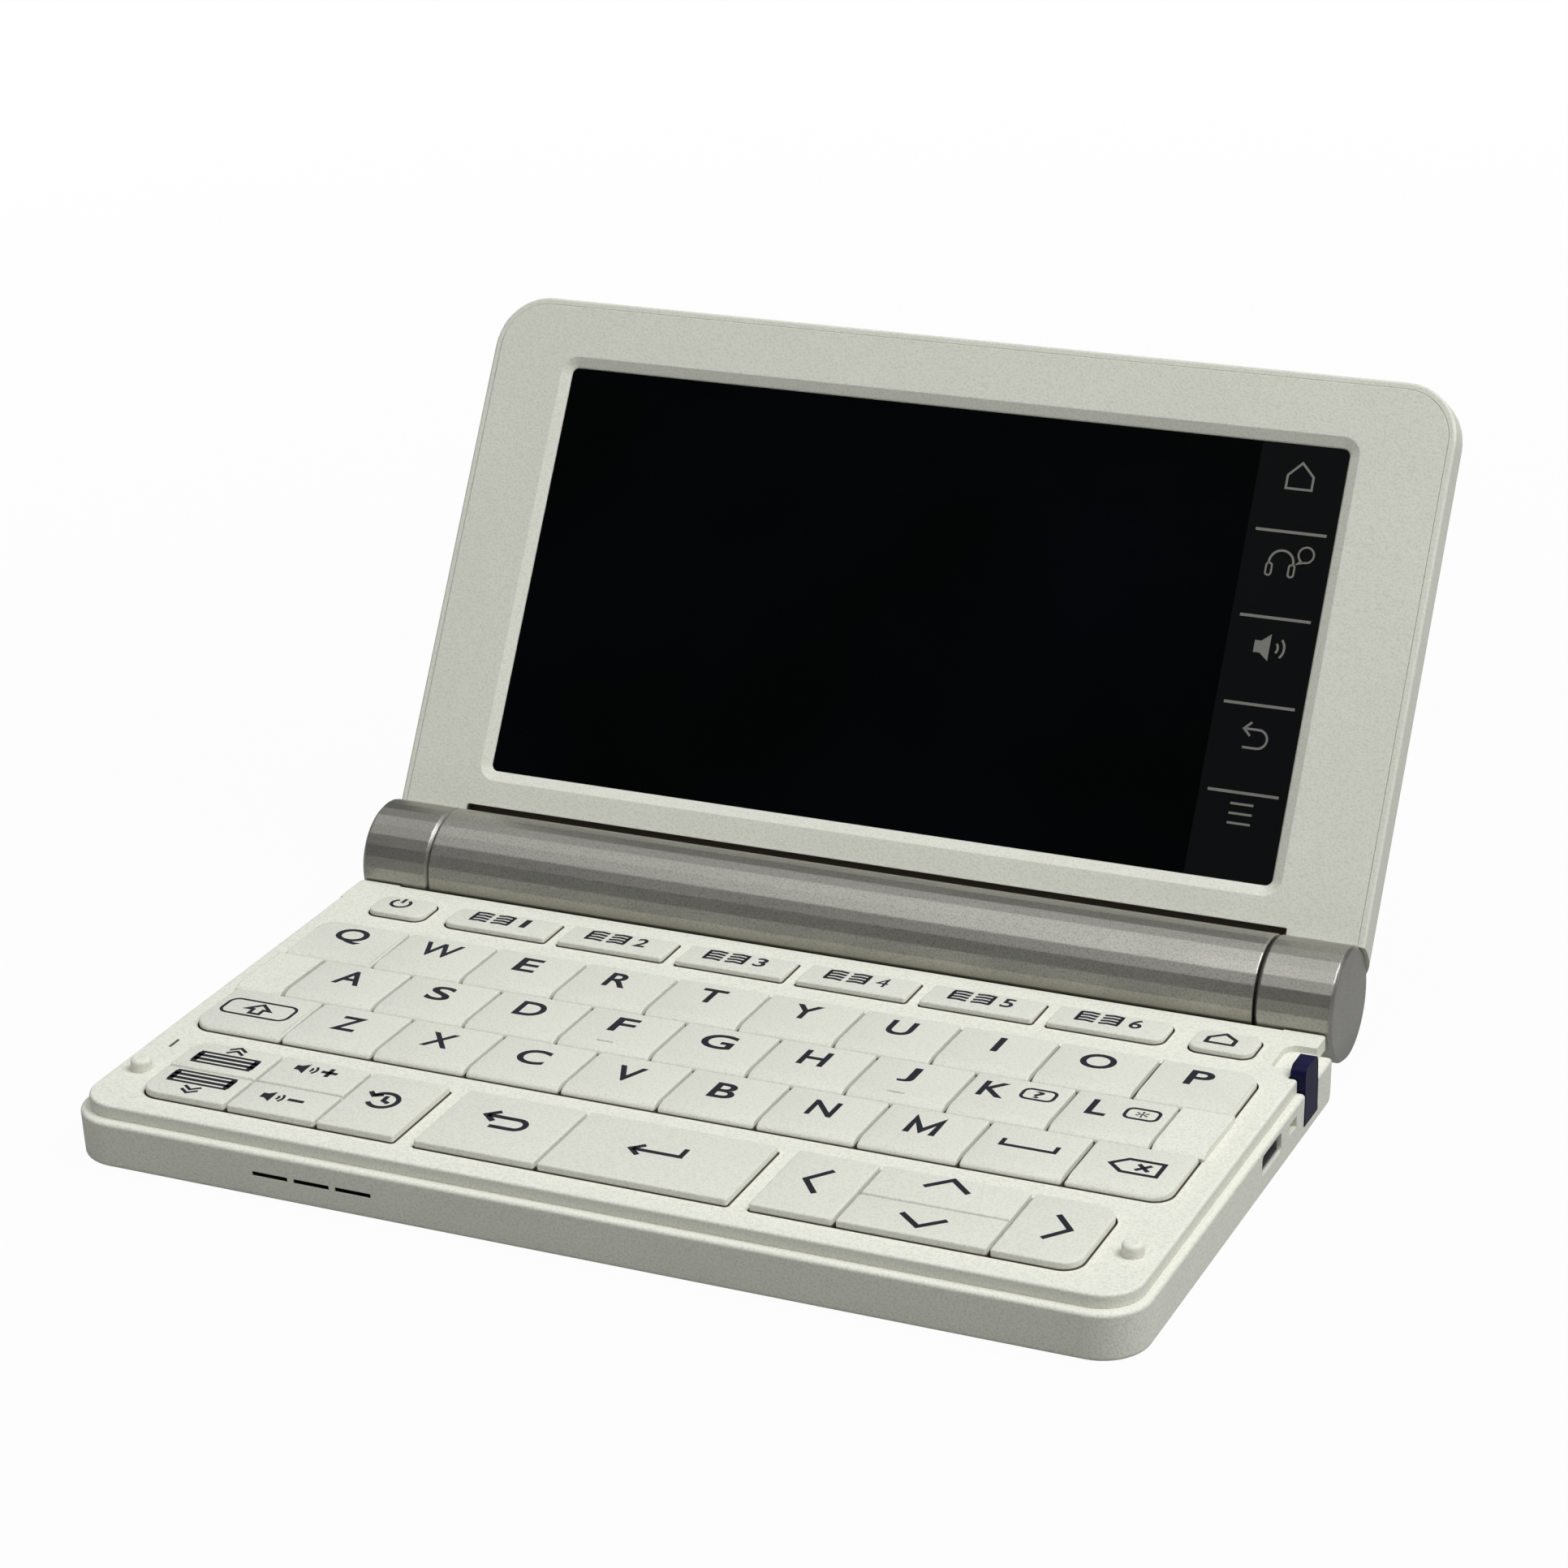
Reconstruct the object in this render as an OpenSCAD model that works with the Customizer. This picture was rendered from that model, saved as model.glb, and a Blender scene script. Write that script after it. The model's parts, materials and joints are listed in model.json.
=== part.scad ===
// Electronic dictionary: a white clamshell with a typewriter keyboard and a wide screen.
// A silver barrel along the back of the base holds the cells and carries the lid on two hinges.
// Millimetres. X runs along the hinge, -Y faces the user, +Z is up. The lid stands open.

/* [Case] */
// Width over the case rim
case_w = 148.6; // [146:0.2:156]
// Depth when closed, from the front of the lid to the back of the barrel
closed_d = 93.6; // [93:0.2:100]
// Distance from the front of the closed lid in to the case front
lid_over = 0.3; // [0:0.05:0.8]
// Gap between the floor of the case and the barrel
barrel_lift = 0.4; // [0.2:0.05:1]
// Height of the keyboard deck above the ground
deck_h = 8.7; // [8.6:0.1:9.2]
// Drop from the deck to the case rim
rim_drop = 1.9; // [1.3:0.1:2.1]
// Step from the rim in to the deck at the sides
side_step = 1.1; // [0.3:0.05:1.3]
// Step from the rim back to the deck at the front
front_step = 1.45; // [0.6:0.05:1.6]
// Corner radius of the case in plan
case_r = 6.4; // [5:0.2:9]
// How far the walls lean in from rim to underside
wall_lean = 0.15; // [0.1:0.05:0.8]
// Radius of the edge round the underside
bottom_r = 0.6; // [0.5:0.1:1.8]
// Thickness of the side walls at the rim
wall_t = 1.5; // [1.2:0.1:1.8]
// Thickness of the floor
floor_t = 1.1; // [0.9:0.1:1.2]
// Height of the rubber feet under the case
foot_h = 0.3; // [0.2:0.05:0.5]
// Diameter of a rubber foot
foot_d = 6; // [4:0.5:7]

/* [Barrel and hinge] */
// Thickness of the barrel round the cells
barrel_wall_t = 0.75; // [0.6:0.05:1]
// Share of the length beside the cells that an end cap takes
cap_share = 0.52; // [0.48:0.01:0.56]
// Number of long facets round the barrel
barrel_facets = 30; // [24:1:40]
// Distance from the end of a cap in to the case side
cap_inset = 1; // [0.7:0.1:1.6]
// Gap between the barrel and an end cap
seam = 0.25; // [0.2:0.05:0.6]
// Diameter of a hinge shaft
shaft_d = 5; // [4:0.25:6]
// Radial running clearance of a shaft in its end cap
shaft_fit = 0.05; // [0.03:0.01:0.08]
// Angle between the deck and the screen as it stands
open_angle = 121.7; // [110:0.5:130]
// Diameter of a cell
cell_d = 14.1; // [13.9:0.1:14.3]
// Length of a cell
cell_len = 50.5; // [49.5:0.1:50.5]

/* [Lid] */
// Distance from the side of the lid in to the case side
lid_inset = 0.6; // [0.1:0.1:1]
// Thickness of the lid
lid_t = 6.2; // [5.8:0.1:6.6]
// Corner radius of the lid in plan
lid_r = 8; // [6:0.2:10]
// Radius of the edge round the back of the lid
lid_edge_r = 2.6; // [1.5:0.1:3]
// Width of the thin rim of the back cover outside the bezel
lid_rim = 1; // [0.8:0.05:1.4]
// Gap between the back of the lid and the barrel
lid_gap = 0.65; // [0.5:0.05:0.8]
// Gap between the bezel and the barrel
bezel_gap = 1.05; // [0.8:0.05:1.4]
// Width of the lid left at either side of the glass
glass_side = 13.95; // [12:0.05:18]
// Height of the lid left above the glass
glass_top = 10.15; // [8:0.05:14]
// Distance from the hinge axis up to the lower edge of the glass
glass_v = 14.4; // [13.8:0.1:16]
// Shift of the glass to the right of the middle
glass_x = -0.55; // [-1.5:0.05:1.5]
// Depth of the recess round the glass
recess_t = 0.75; // [0.6:0.05:1]
// Width of the recess slope
recess_slope = 1.6; // [0.8:0.1:2]

/* [Keyboard] */
// Shift of the keyboard to the right of the middle, which leaves room for the stylus
keys_x = -0.4; // [-1.5:0.1:1.5]
// Deck left beside the letter keys
key_margin = 3.4; // [3:0.1:6]
// Gap between two keys
key_gap = 0.5; // [0.4:0.05:0.7]
// Gap between two letter rows
row_gap = 0.35; // [0.25:0.05:0.5]
// Gap between a key and the edge of its opening
key_clear = 0.25; // [0.2:0.05:0.4]
// Height of a key above the deck
key_rise = 1; // [0.8:0.05:1.2]
// How much lower a letter key is along its rear
rear_fall = 0.2; // [0:0.05:0.4]
// How much lower a letter key is along its rounded front
front_fall = 0.6; // [0.3:0.05:0.7]
// Length of the rounded front of a letter key
front_round = 2.2; // [1.5:0.1:3]
// How far a key goes down
key_travel = 0.5; // [0.3:0.05:0.55]
// Deck left between the letters and the dictionary keys
books_gap = 4.95; // [4:0.05:6]
// Depth of a dictionary key, front to back
book_d = 6.2; // [5.5:0.1:6.6]
// Deck left behind the dictionary keys
books_back = 4.42; // [3.5:0.02:6]
// Gap between two dictionary keys
book_gap = 2.1; // [1:0.1:4]
// Width of the power and home keys
corner_key_w = 8.8; // [7:0.1:9]
// How far the power and home keys stand in from the end of the letter keys
corner_key_in = 3.65; // [2:0.05:6]
// Deck left between the dictionary keys and the key at either side of them
corner_key_space = 3.5; // [2.5:0.1:4]
// Distance from the case front to the front of the clusters
cluster_front = 5.5; // [5:0.1:6.4]
// How far the clusters stand in from the end of the letter keys
cluster_in = 4.4; // [3:0.1:6]
// Deck left between the clusters and the letters
cluster_back = 4.5; // [3:0.1:6]
// Depth of a cluster, front to back
cluster_d = 15.4; // [13:0.1:16]
// Deck left between two clusters
cluster_space = 3; // [2:0.1:3.4]
// Width of the heading and volume rockers
side_rocker_w = 12.9; // [11:0.1:13.2]
// Width of the history key
history_w = 11.2; // [10:0.1:11.6]
// Width of the back key
back_w = 17.1; // [15:0.1:17.6]
// Width of the left and right keys
arrow_w = 11.1; // [10:0.1:11.5]
// Width of the rocker between them
up_down_w = 19.7; // [16:0.1:20]

/* [Stylus and sockets] */
// Width of the stylus head along the case side
stylus_w = 5.3; // [5:0.1:6.2]
// Distance from the case front to the middle of the stylus
stylus_y = 66.4; // [65:0.1:68]
// Height of the stylus head above the deck
stylus_rise = 1.6; // [0.6:0.1:1.7]
// Length of the stylus with its tip
stylus_len = 84; // [70:1:90]
// Thickness of the stylus shaft
stylus_t = 2.2; // [1.8:0.1:2.2]
// Width of the data socket
socket_w = 7.6; // [6.8:0.1:8]
// Height of the data socket
socket_h = 2.8; // [2.4:0.1:3]
// Distance from the case front to the middle of the data socket
socket_y = 50.4; // [48:0.1:53]
// Distance from the case front to the strap hole
strap_y = 58.9; // [57:0.1:60]
// Width of the strap hole
strap_w = 2.9; // [1:0.1:3]
// Place of the loudspeaker slots along the front
slots_x = -37; // [-50:1:-30]
// Width of one slot of the loudspeaker
slot_w = 5.2; // [4:0.1:5.4]
// Pitch of the loudspeaker slots
slot_pitch = 6.1; // [6:0.1:7]
// Distance from the case front to the middle of the earphone socket
earphone_y = 13.7; // [12:0.1:20]
// Diameter of the earphone plug
plug_d = 3.5; // [2.5:0.5:3.5]

/* [Hidden] */
$fn = 64;
ROUND = 96;
EPS = 0.01;
FIT = 0.05;
// How far a cut runs past a face
OVER = 1;
FAR = 200;

// Heights in the base
case_z = foot_h;
floor_z = case_z + floor_t;
rim_z = deck_h - rim_drop;
foot_pocket_t = 0.3;
board_t = 0.8;
board_z = 4.5;
sheet_t = 0.5;
sheet_z = board_z + board_t;
dome_h = 0.2;
key_z = sheet_z + sheet_t + dome_h + key_travel + FIT;
deck_lip_h = 0.8;

// The barrel goes round the cells
cell_play = 0.15;
bore_r = cell_d / 2 + cell_play;
barrel_r = bore_r + barrel_wall_t;

// Places along Y, from the middle of the closed depth
front_y = lid_over - closed_d / 2;
hinge_y = closed_d / 2 - barrel_r;
hinge_z = floor_z + barrel_lift + barrel_r;
deck_clear = 0.25;
wing_back = 2.4;
deck_rear_y = hinge_y - sqrt(pow(barrel_r, 2) - pow(hinge_z - deck_h, 2)) - deck_clear;
wing_rear_y = deck_rear_y - wing_back;
deck_front_y = front_y + front_step;
deck_half = case_w / 2 - side_step;
deck_r = case_r - side_step;
inner_half = case_w / 2 - wall_t;
inner_front_y = front_y + wall_t;
inner_r = case_r - wall_t;
rear_r = 1;

// Sockets and slots in the walls
slot_z = 3.7;
socket_mid_y = front_y + socket_y;
socket_depth = 5;
socket_x = inner_half - socket_depth;
jack_size = [10, 6, 4.4];
jack_mid_y = front_y + earphone_y;
jack_z = floor_z + jack_size[2] / 2;
plug_play = 0.1;
plug_room = 0.6;
stylus_mid_y = front_y + stylus_y;
stylus_play = 0.2;
stylus_z = floor_z + 0.7;
head_in = 2.1;

// Places along X
cell_room = 1.1;
room_half = cell_len + cell_room;
end_wall_t = 1;
hinge_unit_x = room_half + end_wall_t;
hinge_unit_share = 0.25;
cap_out_x = case_w / 2 - cap_inset;
hinge_unit_len = hinge_unit_share * (cap_out_x - hinge_unit_x);
cap_len = cap_share * (cap_out_x - hinge_unit_x);
cap_in_x = cap_out_x - cap_len;
barrel_half = cap_in_x - seam;
cap_wall_t = 1.6;
shaft_end_gap = 1.4;
cheek_gap = 0.2;
cheek_half = barrel_half - cheek_gap;
door_lap = 1.4;
door_half = room_half + door_lap;
door_in = 1.2;
door_y = hinge_y - barrel_r + door_in;
cradle_r = hinge_z - case_z;
cradle_end = 40;

// The lid, in its own axes: X, then up along the lid, then towards the user
lid_len = closed_d - barrel_r;
tilt = 180 - open_angle;
lid_half = case_w / 2 - lid_inset;
stop_h = 1.7;
stop_gap = 0.35;
lid_set_back = deck_h + stop_h + stop_gap - hinge_z;
glass_w = 2 * (lid_half - glass_side);
glass_h = lid_len - glass_top - glass_v;
bezel_half = lid_half - lid_rim;
bezel_t = 1.5;
cover_t = 1;
glass_t = 1;
glass_lap = 1.5;
panel_t = 2.4;
panel_lap = 0.6;
lid_back = lid_set_back + lid_t;
lid_step = 0.1;
glass_z = -lid_set_back - recess_t - glass_t - EPS;
panel_z = glass_z - panel_t - EPS;
cut_r = barrel_r + lid_gap;
cover_ledge = 1.6;
hollow_half = bezel_half - cover_ledge;

// The standing lid reaches furthest back at the round edge of its cover
lid_rear_y = hinge_y + (lid_len - lid_edge_r) * cos(tilt) + (lid_back - lid_edge_r) * sin(tilt) + lid_edge_r;
middle_y = (front_y + lid_rear_y) / 2;

// Letter rows
small_r = 0.35;
block_r = 2.6;
ROWS = [
    ["q", "w", "e", "r", "t", "y", "u", "i", "o", "p"],
    ["a", "s", "d", "f", "g", "h", "j", "k", "l"],
    ["shift", "z", "x", "c", "v", "b", "n", "m", "space", "delete"],
];
HOMING = ["key_f", "key_j"];
block_half = deck_half - key_margin;
letter_pitch = 2 * block_half / len(ROWS[0]);
cluster_y = front_y + cluster_front;
books_y = deck_rear_y - books_back - book_d;
rows_y = cluster_y + cluster_d + cluster_back;
row_pitch = (books_y - books_gap + row_gap - rows_y) / len(ROWS);
letter_d = row_pitch - row_gap;
row_front_y = [for (row = [0:2]) rows_y + (2 - row) * row_pitch];

// One key is its name, middle X, front Y, width, depth, corner radii and kind.
// Corner radii go rear left, rear right, front right, front left
function letter_radii(row, i) = [
    row == 0 && i == 0 ? block_r : small_r,
    row == 0 && i == 9 ? block_r : small_r,
    row == 2 && i == 9 ? block_r : small_r,
    row == 2 && i == 0 ? block_r : small_r,
];
letter_keys = [
    for (row = [0:2]) for (i = [0:len(ROWS[row]) - 1]) [
        str("key_", ROWS[row][i]),
        keys_x + (i - (len(ROWS[row]) - 1) / 2) * letter_pitch,
        row_front_y[row],
        letter_pitch - key_gap,
        letter_d,
        letter_radii(row, i),
        "letter",
    ]
];

// The row of dictionary keys, with the power key on its left and the home key on its right
BOOKS = 6;
book_r = 1.6;
corner_key_x = block_half - corner_key_in - corner_key_w / 2;
books_w = 2 * (corner_key_x - corner_key_w / 2 - corner_key_space);
book_pitch = (books_w + book_gap) / BOOKS;
book_w = book_pitch - book_gap;
book_keys = [
    for (i = [0:BOOKS - 1]) [
        str("key_dictionary_", i + 1), keys_x + (i - (BOOKS - 1) / 2) * book_pitch, books_y, book_w, book_d,
        i == 0 ? [book_r, small_r, small_r, book_r] : i == BOOKS - 1 ? [small_r, book_r, book_r, small_r]
            : [small_r, small_r, small_r, small_r],
        "book",
    ]
];
corner_keys = [
    for (k = [["key_power", -1], ["key_home", 1]]) [
        k[0], keys_x + k[1] * corner_key_x, books_y, corner_key_w, book_d,
        [book_r, book_r, book_r, book_r],
        "book",
    ]
];

// The clusters in front of the letters: name, width and kind of each key. The enter key fills what is left
enter_w = 2 * (block_half - cluster_in - cluster_space) - 2 * side_rocker_w - history_w - back_w
    - 2 * arrow_w - up_down_w - 5 * key_gap;
CLUSTERS = [
    [
        ["heading_rocker", side_rocker_w, "rocker"],
        ["volume_rocker", side_rocker_w, "rocker"],
        ["history", history_w, "flat"],
    ],
    [["back", back_w, "flat"], ["enter", enter_w, "flat"]],
    [["left", arrow_w, "flat"], ["up_down_rocker", up_down_w, "rocker"], ["right", arrow_w, "flat"]],
];
function widths(c, n) = n <= 0 ? 0 : CLUSTERS[c][n - 1][1] + key_gap + widths(c, n - 1);
function cluster_w(c) = widths(c, len(CLUSTERS[c])) - key_gap;
function clusters_w(n) = n <= 0 ? 0 : cluster_w(n - 1) + cluster_space + clusters_w(n - 1);
function cluster_x(c) = keys_x - (clusters_w(3) - cluster_space) / 2 + clusters_w(c);
// The outer corners of the outer clusters are rounder
function cluster_radii(c, first, last) = [
    c == 0 && first ? block_r : small_r,
    c == 2 && last ? block_r : small_r,
    c == 2 && last ? block_r : small_r,
    c == 0 && first ? block_r : small_r,
];
cluster_keys = [
    for (c = [0:2]) for (i = [0:len(CLUSTERS[c]) - 1])
        let (w = CLUSTERS[c][i][1]) [
            str("key_", CLUSTERS[c][i][0]), cluster_x(c) + widths(c, i) + w / 2, cluster_y, w, cluster_d,
            cluster_radii(c, i == 0, i == len(CLUSTERS[c]) - 1),
            CLUSTERS[c][i][2],
        ]
];

KEYS = concat(letter_keys, book_keys, corner_keys, cluster_keys);

CASE_WHITE = [0.93, 0.93, 0.90];
KEY_WHITE = [0.90, 0.90, 0.87];
SATIN_SILVER = [0.66, 0.66, 0.64];
NAVY = [0.07, 0.08, 0.28];

// Shapes used by several pieces

// Moves a piece of the base so that the whole part stands over the origin
module in_base() {
    translate([0, -middle_y, 0]) children();
}

// Moves a piece drawn flat in the lid's own axes to where the lid stands
module in_lid() {
    translate([0, hinge_y - middle_y, hinge_z]) rotate([tilt, 0, 0]) children();
}

// Plate of height h with a radius of its own at each corner: rear left, rear right, front right, front left
module corner_plate(x0, y0, x1, y1, r, h) {
    linear_extrude(h) polygon([
        [x0 + r[0], y1], [x1 - r[1], y1], [x1, y1 - r[1]], [x1, y0 + r[2]],
        [x1 - r[2], y0], [x0 + r[3], y0], [x0, y0 + r[3]], [x0, y1 - r[0]],
    ]);
    translate([x0 + r[0], y1 - r[0], 0]) cylinder(h = h, r = r[0]);
    translate([x1 - r[1], y1 - r[1], 0]) cylinder(h = h, r = r[1]);
    translate([x1 - r[2], y0 + r[2], 0]) cylinder(h = h, r = r[2]);
    translate([x0 + r[3], y0 + r[3], 0]) cylinder(h = h, r = r[3]);
}

// Slab with an edge profile swept round its outline: the children draw the profile from 0 to r
module swept_slab(x0, y0, x1, y1, r) {
    corners = [[x1 - r, y1 - r, 0], [x0 + r, y1 - r, 90], [x0 + r, y0 + r, 180], [x1 - r, y0 + r, 270]];
    for (c = corners) translate([c[0], c[1], 0]) rotate([0, 0, c[2]])
        rotate_extrude(angle = 90, $fn = ROUND) children();
    for (s = [0, 180]) {
        translate([(x0 + x1) / 2, (y0 + y1) / 2, 0]) rotate([0, 0, s]) {
            translate([0, (y1 - y0) / 2 - r, 0]) rotate([90, 0, 90])
                linear_extrude(x1 - x0 - 2 * r, center = true) children();
            translate([(x1 - x0) / 2 - r, 0, 0]) rotate([90, 0, 0])
                linear_extrude(y1 - y0 - 2 * r, center = true) children();
        }
    }
}

// Plain middle of a swept slab, from z0 to z1
module slab_middle(x0, y0, x1, y1, r, z0, z1) {
    in = r - EPS;
    translate([x0 + in, y0 + in, z0]) cube([x1 - x0 - 2 * in, y1 - y0 - 2 * in, z1 - z0]);
}

// Wall profile of the case: a rounded foot, a wall that leans out and a softened rim
module case_profile() {
    rim_r = 0.5;
    lean = atan(wall_lean / (rim_z - case_z));
    foot_x = case_r - wall_lean - bottom_r;
    union() {
        polygon([
            [0, case_z], [foot_x, case_z],
            [foot_x + bottom_r * cos(lean), case_z + bottom_r - bottom_r * sin(lean)],
            [case_r, rim_z - rim_r], [case_r - rim_r, rim_z], [0, rim_z],
        ]);
        translate([foot_x, case_z + bottom_r]) circle(bottom_r);
        translate([case_r - rim_r, rim_z - rim_r]) circle(rim_r);
    }
}

// Cylinder along X about the hinge axis, in the base
module hinge_rod(r, x0, x1) {
    translate([x0, hinge_y, hinge_z]) rotate([90, 0, 90]) cylinder(h = x1 - x0, r = r, $fn = ROUND);
}

// Faceted rod along X about the hinge axis, in the base
module faceted_rod(x0, x1) {
    translate([x0, hinge_y, hinge_z]) rotate([90, 0, 90]) linear_extrude(x1 - x0)
        polygon([for (i = [0:barrel_facets - 1])
            barrel_r * [cos((i + 0.5) * 360 / barrel_facets), sin((i + 0.5) * 360 / barrel_facets)]]);
}

// The two ends of the case, mirrored
module both_ends() {
    children();
    mirror([1, 0, 0]) children();
}

// Part of the cradle under the barrel, from straight down round to the back
module cradle(x0, x1, inner_r) {
    intersection() {
        difference() {
            hinge_rod(cradle_r, x0, x1);
            hinge_rod(inner_r, x0 - OVER, x1 + OVER);
        }
        translate([x0, hinge_y, hinge_z]) rotate([90, 0, 90]) linear_extrude(x1 - x0)
            polygon([[0, 0], [0, -FAR], [FAR, -FAR], [FAR * cos(cradle_end), -FAR * sin(cradle_end)]]);
    }
}

// Openings in the deck for the keys, grown by a clearance
module key_openings(grow) {
    r = block_r + grow;
    corner_plate(keys_x - block_half + key_gap / 2 - grow, row_front_y[2] - grow,
        keys_x + block_half - key_gap / 2 + grow, row_front_y[0] + letter_d + grow, [r, r, r, r], FAR);
    for (k = concat(book_keys, corner_keys))
        corner_plate(k[1] - k[3] / 2 - grow, k[2] - grow, k[1] + k[3] / 2 + grow, k[2] + k[4] + grow,
            [for (c = k[5]) c + grow], FAR);
    for (c = [0:2]) corner_plate(cluster_x(c) - grow, cluster_y - grow, cluster_x(c) + cluster_w(c) + grow,
        cluster_y + cluster_d + grow, [for (c_r = cluster_radii(c, true, true)) c_r + grow], FAR);
}

// Stylus head, grown by a clearance: it fills a notch in the side of the case
module stylus_head(grow) {
    top_r = 1.4;
    half = stylus_w / 2 + grow;
    top = deck_h + stylus_rise + grow - top_r;
    translate([case_w / 2 - head_in - grow, stylus_mid_y, 0]) rotate([90, 0, 90])
        linear_extrude(head_in + grow) {
            polygon([[-half, stylus_z - grow], [half, stylus_z - grow], [half, top],
                [half - top_r, top + top_r], [-half + top_r, top + top_r], [-half, top]]);
            for (s = [-1, 1]) translate([s * (half - top_r), top]) circle(top_r);
        }
}

// Base

module bottom_case() {
    slot_t = 0.6;
    rail_t = 1;
    rail_y = (stylus_w + stylus_play + rail_t) / 2;
    strap_z = 4.45;
    strap_depth = 1.2;
    strap_h = strap_w / 2;
    mouth_r = 0.7;
    heel_r = 1.8;
    post_r = 2.2;
    post_x = inner_half - 8;
    post_y = [-20, 5];
    color(CASE_WHITE) difference() {
        union() {
            difference() {
                union() {
                    swept_slab(-case_w / 2, front_y, case_w / 2, FAR / 2, case_r) case_profile();
                    slab_middle(-case_w / 2, front_y, case_w / 2, FAR / 2, case_r, case_z, rim_z);
                }
                // Room for the keyboard parts, and behind them for the barrel
                translate([0, 0, floor_z])
                    corner_plate(-inner_half, inner_front_y, inner_half, wing_rear_y - wall_t,
                        [rear_r, rear_r, inner_r, inner_r], FAR);
                translate([-cheek_half + wall_t, 0, floor_z])
                    cube([2 * (cheek_half - wall_t), hinge_y, FAR]);
                // The sides stop short of the end caps, and the middle stops under the barrel
                both_ends() translate([cheek_half, wing_rear_y, -OVER]) cube([FAR, FAR, FAR]);
                translate([-FAR, hinge_y, -OVER]) cube([2 * FAR, FAR, FAR]);
                // Rounded heel behind each side
                both_ends() translate([0, wing_rear_y - heel_r, 0]) difference() {
                    translate([cheek_half, 0, -OVER]) cube([FAR, FAR, OVER + case_z + heel_r]);
                    translate([0, 0, case_z + heel_r]) rotate([0, 90, 0]) cylinder(h = FAR, r = heel_r);
                }
            }
            cradle(-cheek_half, cheek_half, barrel_r + FIT);
            // Rails that guide the stylus
            for (s = [-1, 1])
                translate([case_w / 2 - stylus_len, stylus_mid_y + s * rail_y - rail_t / 2, floor_z - EPS])
                    cube([stylus_len - wall_t, rail_t, board_z - floor_z + EPS]);
            // Posts under the circuit board
            for (x = [-post_x, post_x], y = post_y) translate([x, y, floor_z - EPS])
                cylinder(h = board_z - floor_z + EPS, r = post_r);
        }
        // The barrel lies in the cradle
        hinge_rod(barrel_r + FIT, -FAR, FAR);
        // Opening for the battery cover
        translate([-door_half, door_y, -OVER]) cube([2 * door_half, FAR, FAR]);
        // Stylus
        stylus_head(stylus_play);
        translate([0, stylus_mid_y - stylus_w / 2 - stylus_play / 2, stylus_z - stylus_play])
            cube([FAR, stylus_w + stylus_play, stylus_t + 2 * stylus_play]);
        // Data socket, strap hole and earphone socket
        translate([inner_half - OVER, socket_mid_y, board_z]) rotate([90, 0, 90])
            corner_plate(-socket_w / 2, -socket_h / 2, socket_w / 2, socket_h / 2,
                [mouth_r, mouth_r, mouth_r, mouth_r], FAR);
        translate([case_w / 2 - strap_depth, front_y + strap_y - strap_w / 2, strap_z - strap_h / 2])
            cube([FAR, strap_w, strap_h]);
        translate([-case_w / 2 - OVER, jack_mid_y, jack_z]) rotate([0, 90, 0])
            cylinder(h = wall_t + 2 * OVER, d = plug_d + plug_room);
        // Loudspeaker slots
        for (i = [-1:1])
            translate([slots_x + i * slot_pitch - slot_w / 2, front_y - OVER, slot_z - slot_t / 2])
                cube([slot_w, wall_t + 2 * OVER, slot_t]);
        // Pockets for the feet
        feet_places() translate([0, 0, -OVER]) cylinder(h = OVER + case_z + foot_pocket_t, d = foot_d);
    }
}

module feet_places() {
    front_in = 9;
    for (s = [-1, 1]) {
        translate([s * (inner_half - front_in), front_y + front_in, 0]) children();
        translate([s * (door_half + cheek_half) / 2, hinge_y - foot_d / 2, 0]) children();
    }
}

module rubber_feet() {
    color("dimgray") feet_places() cylinder(h = case_z + foot_pocket_t, d = foot_d);
}

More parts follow.
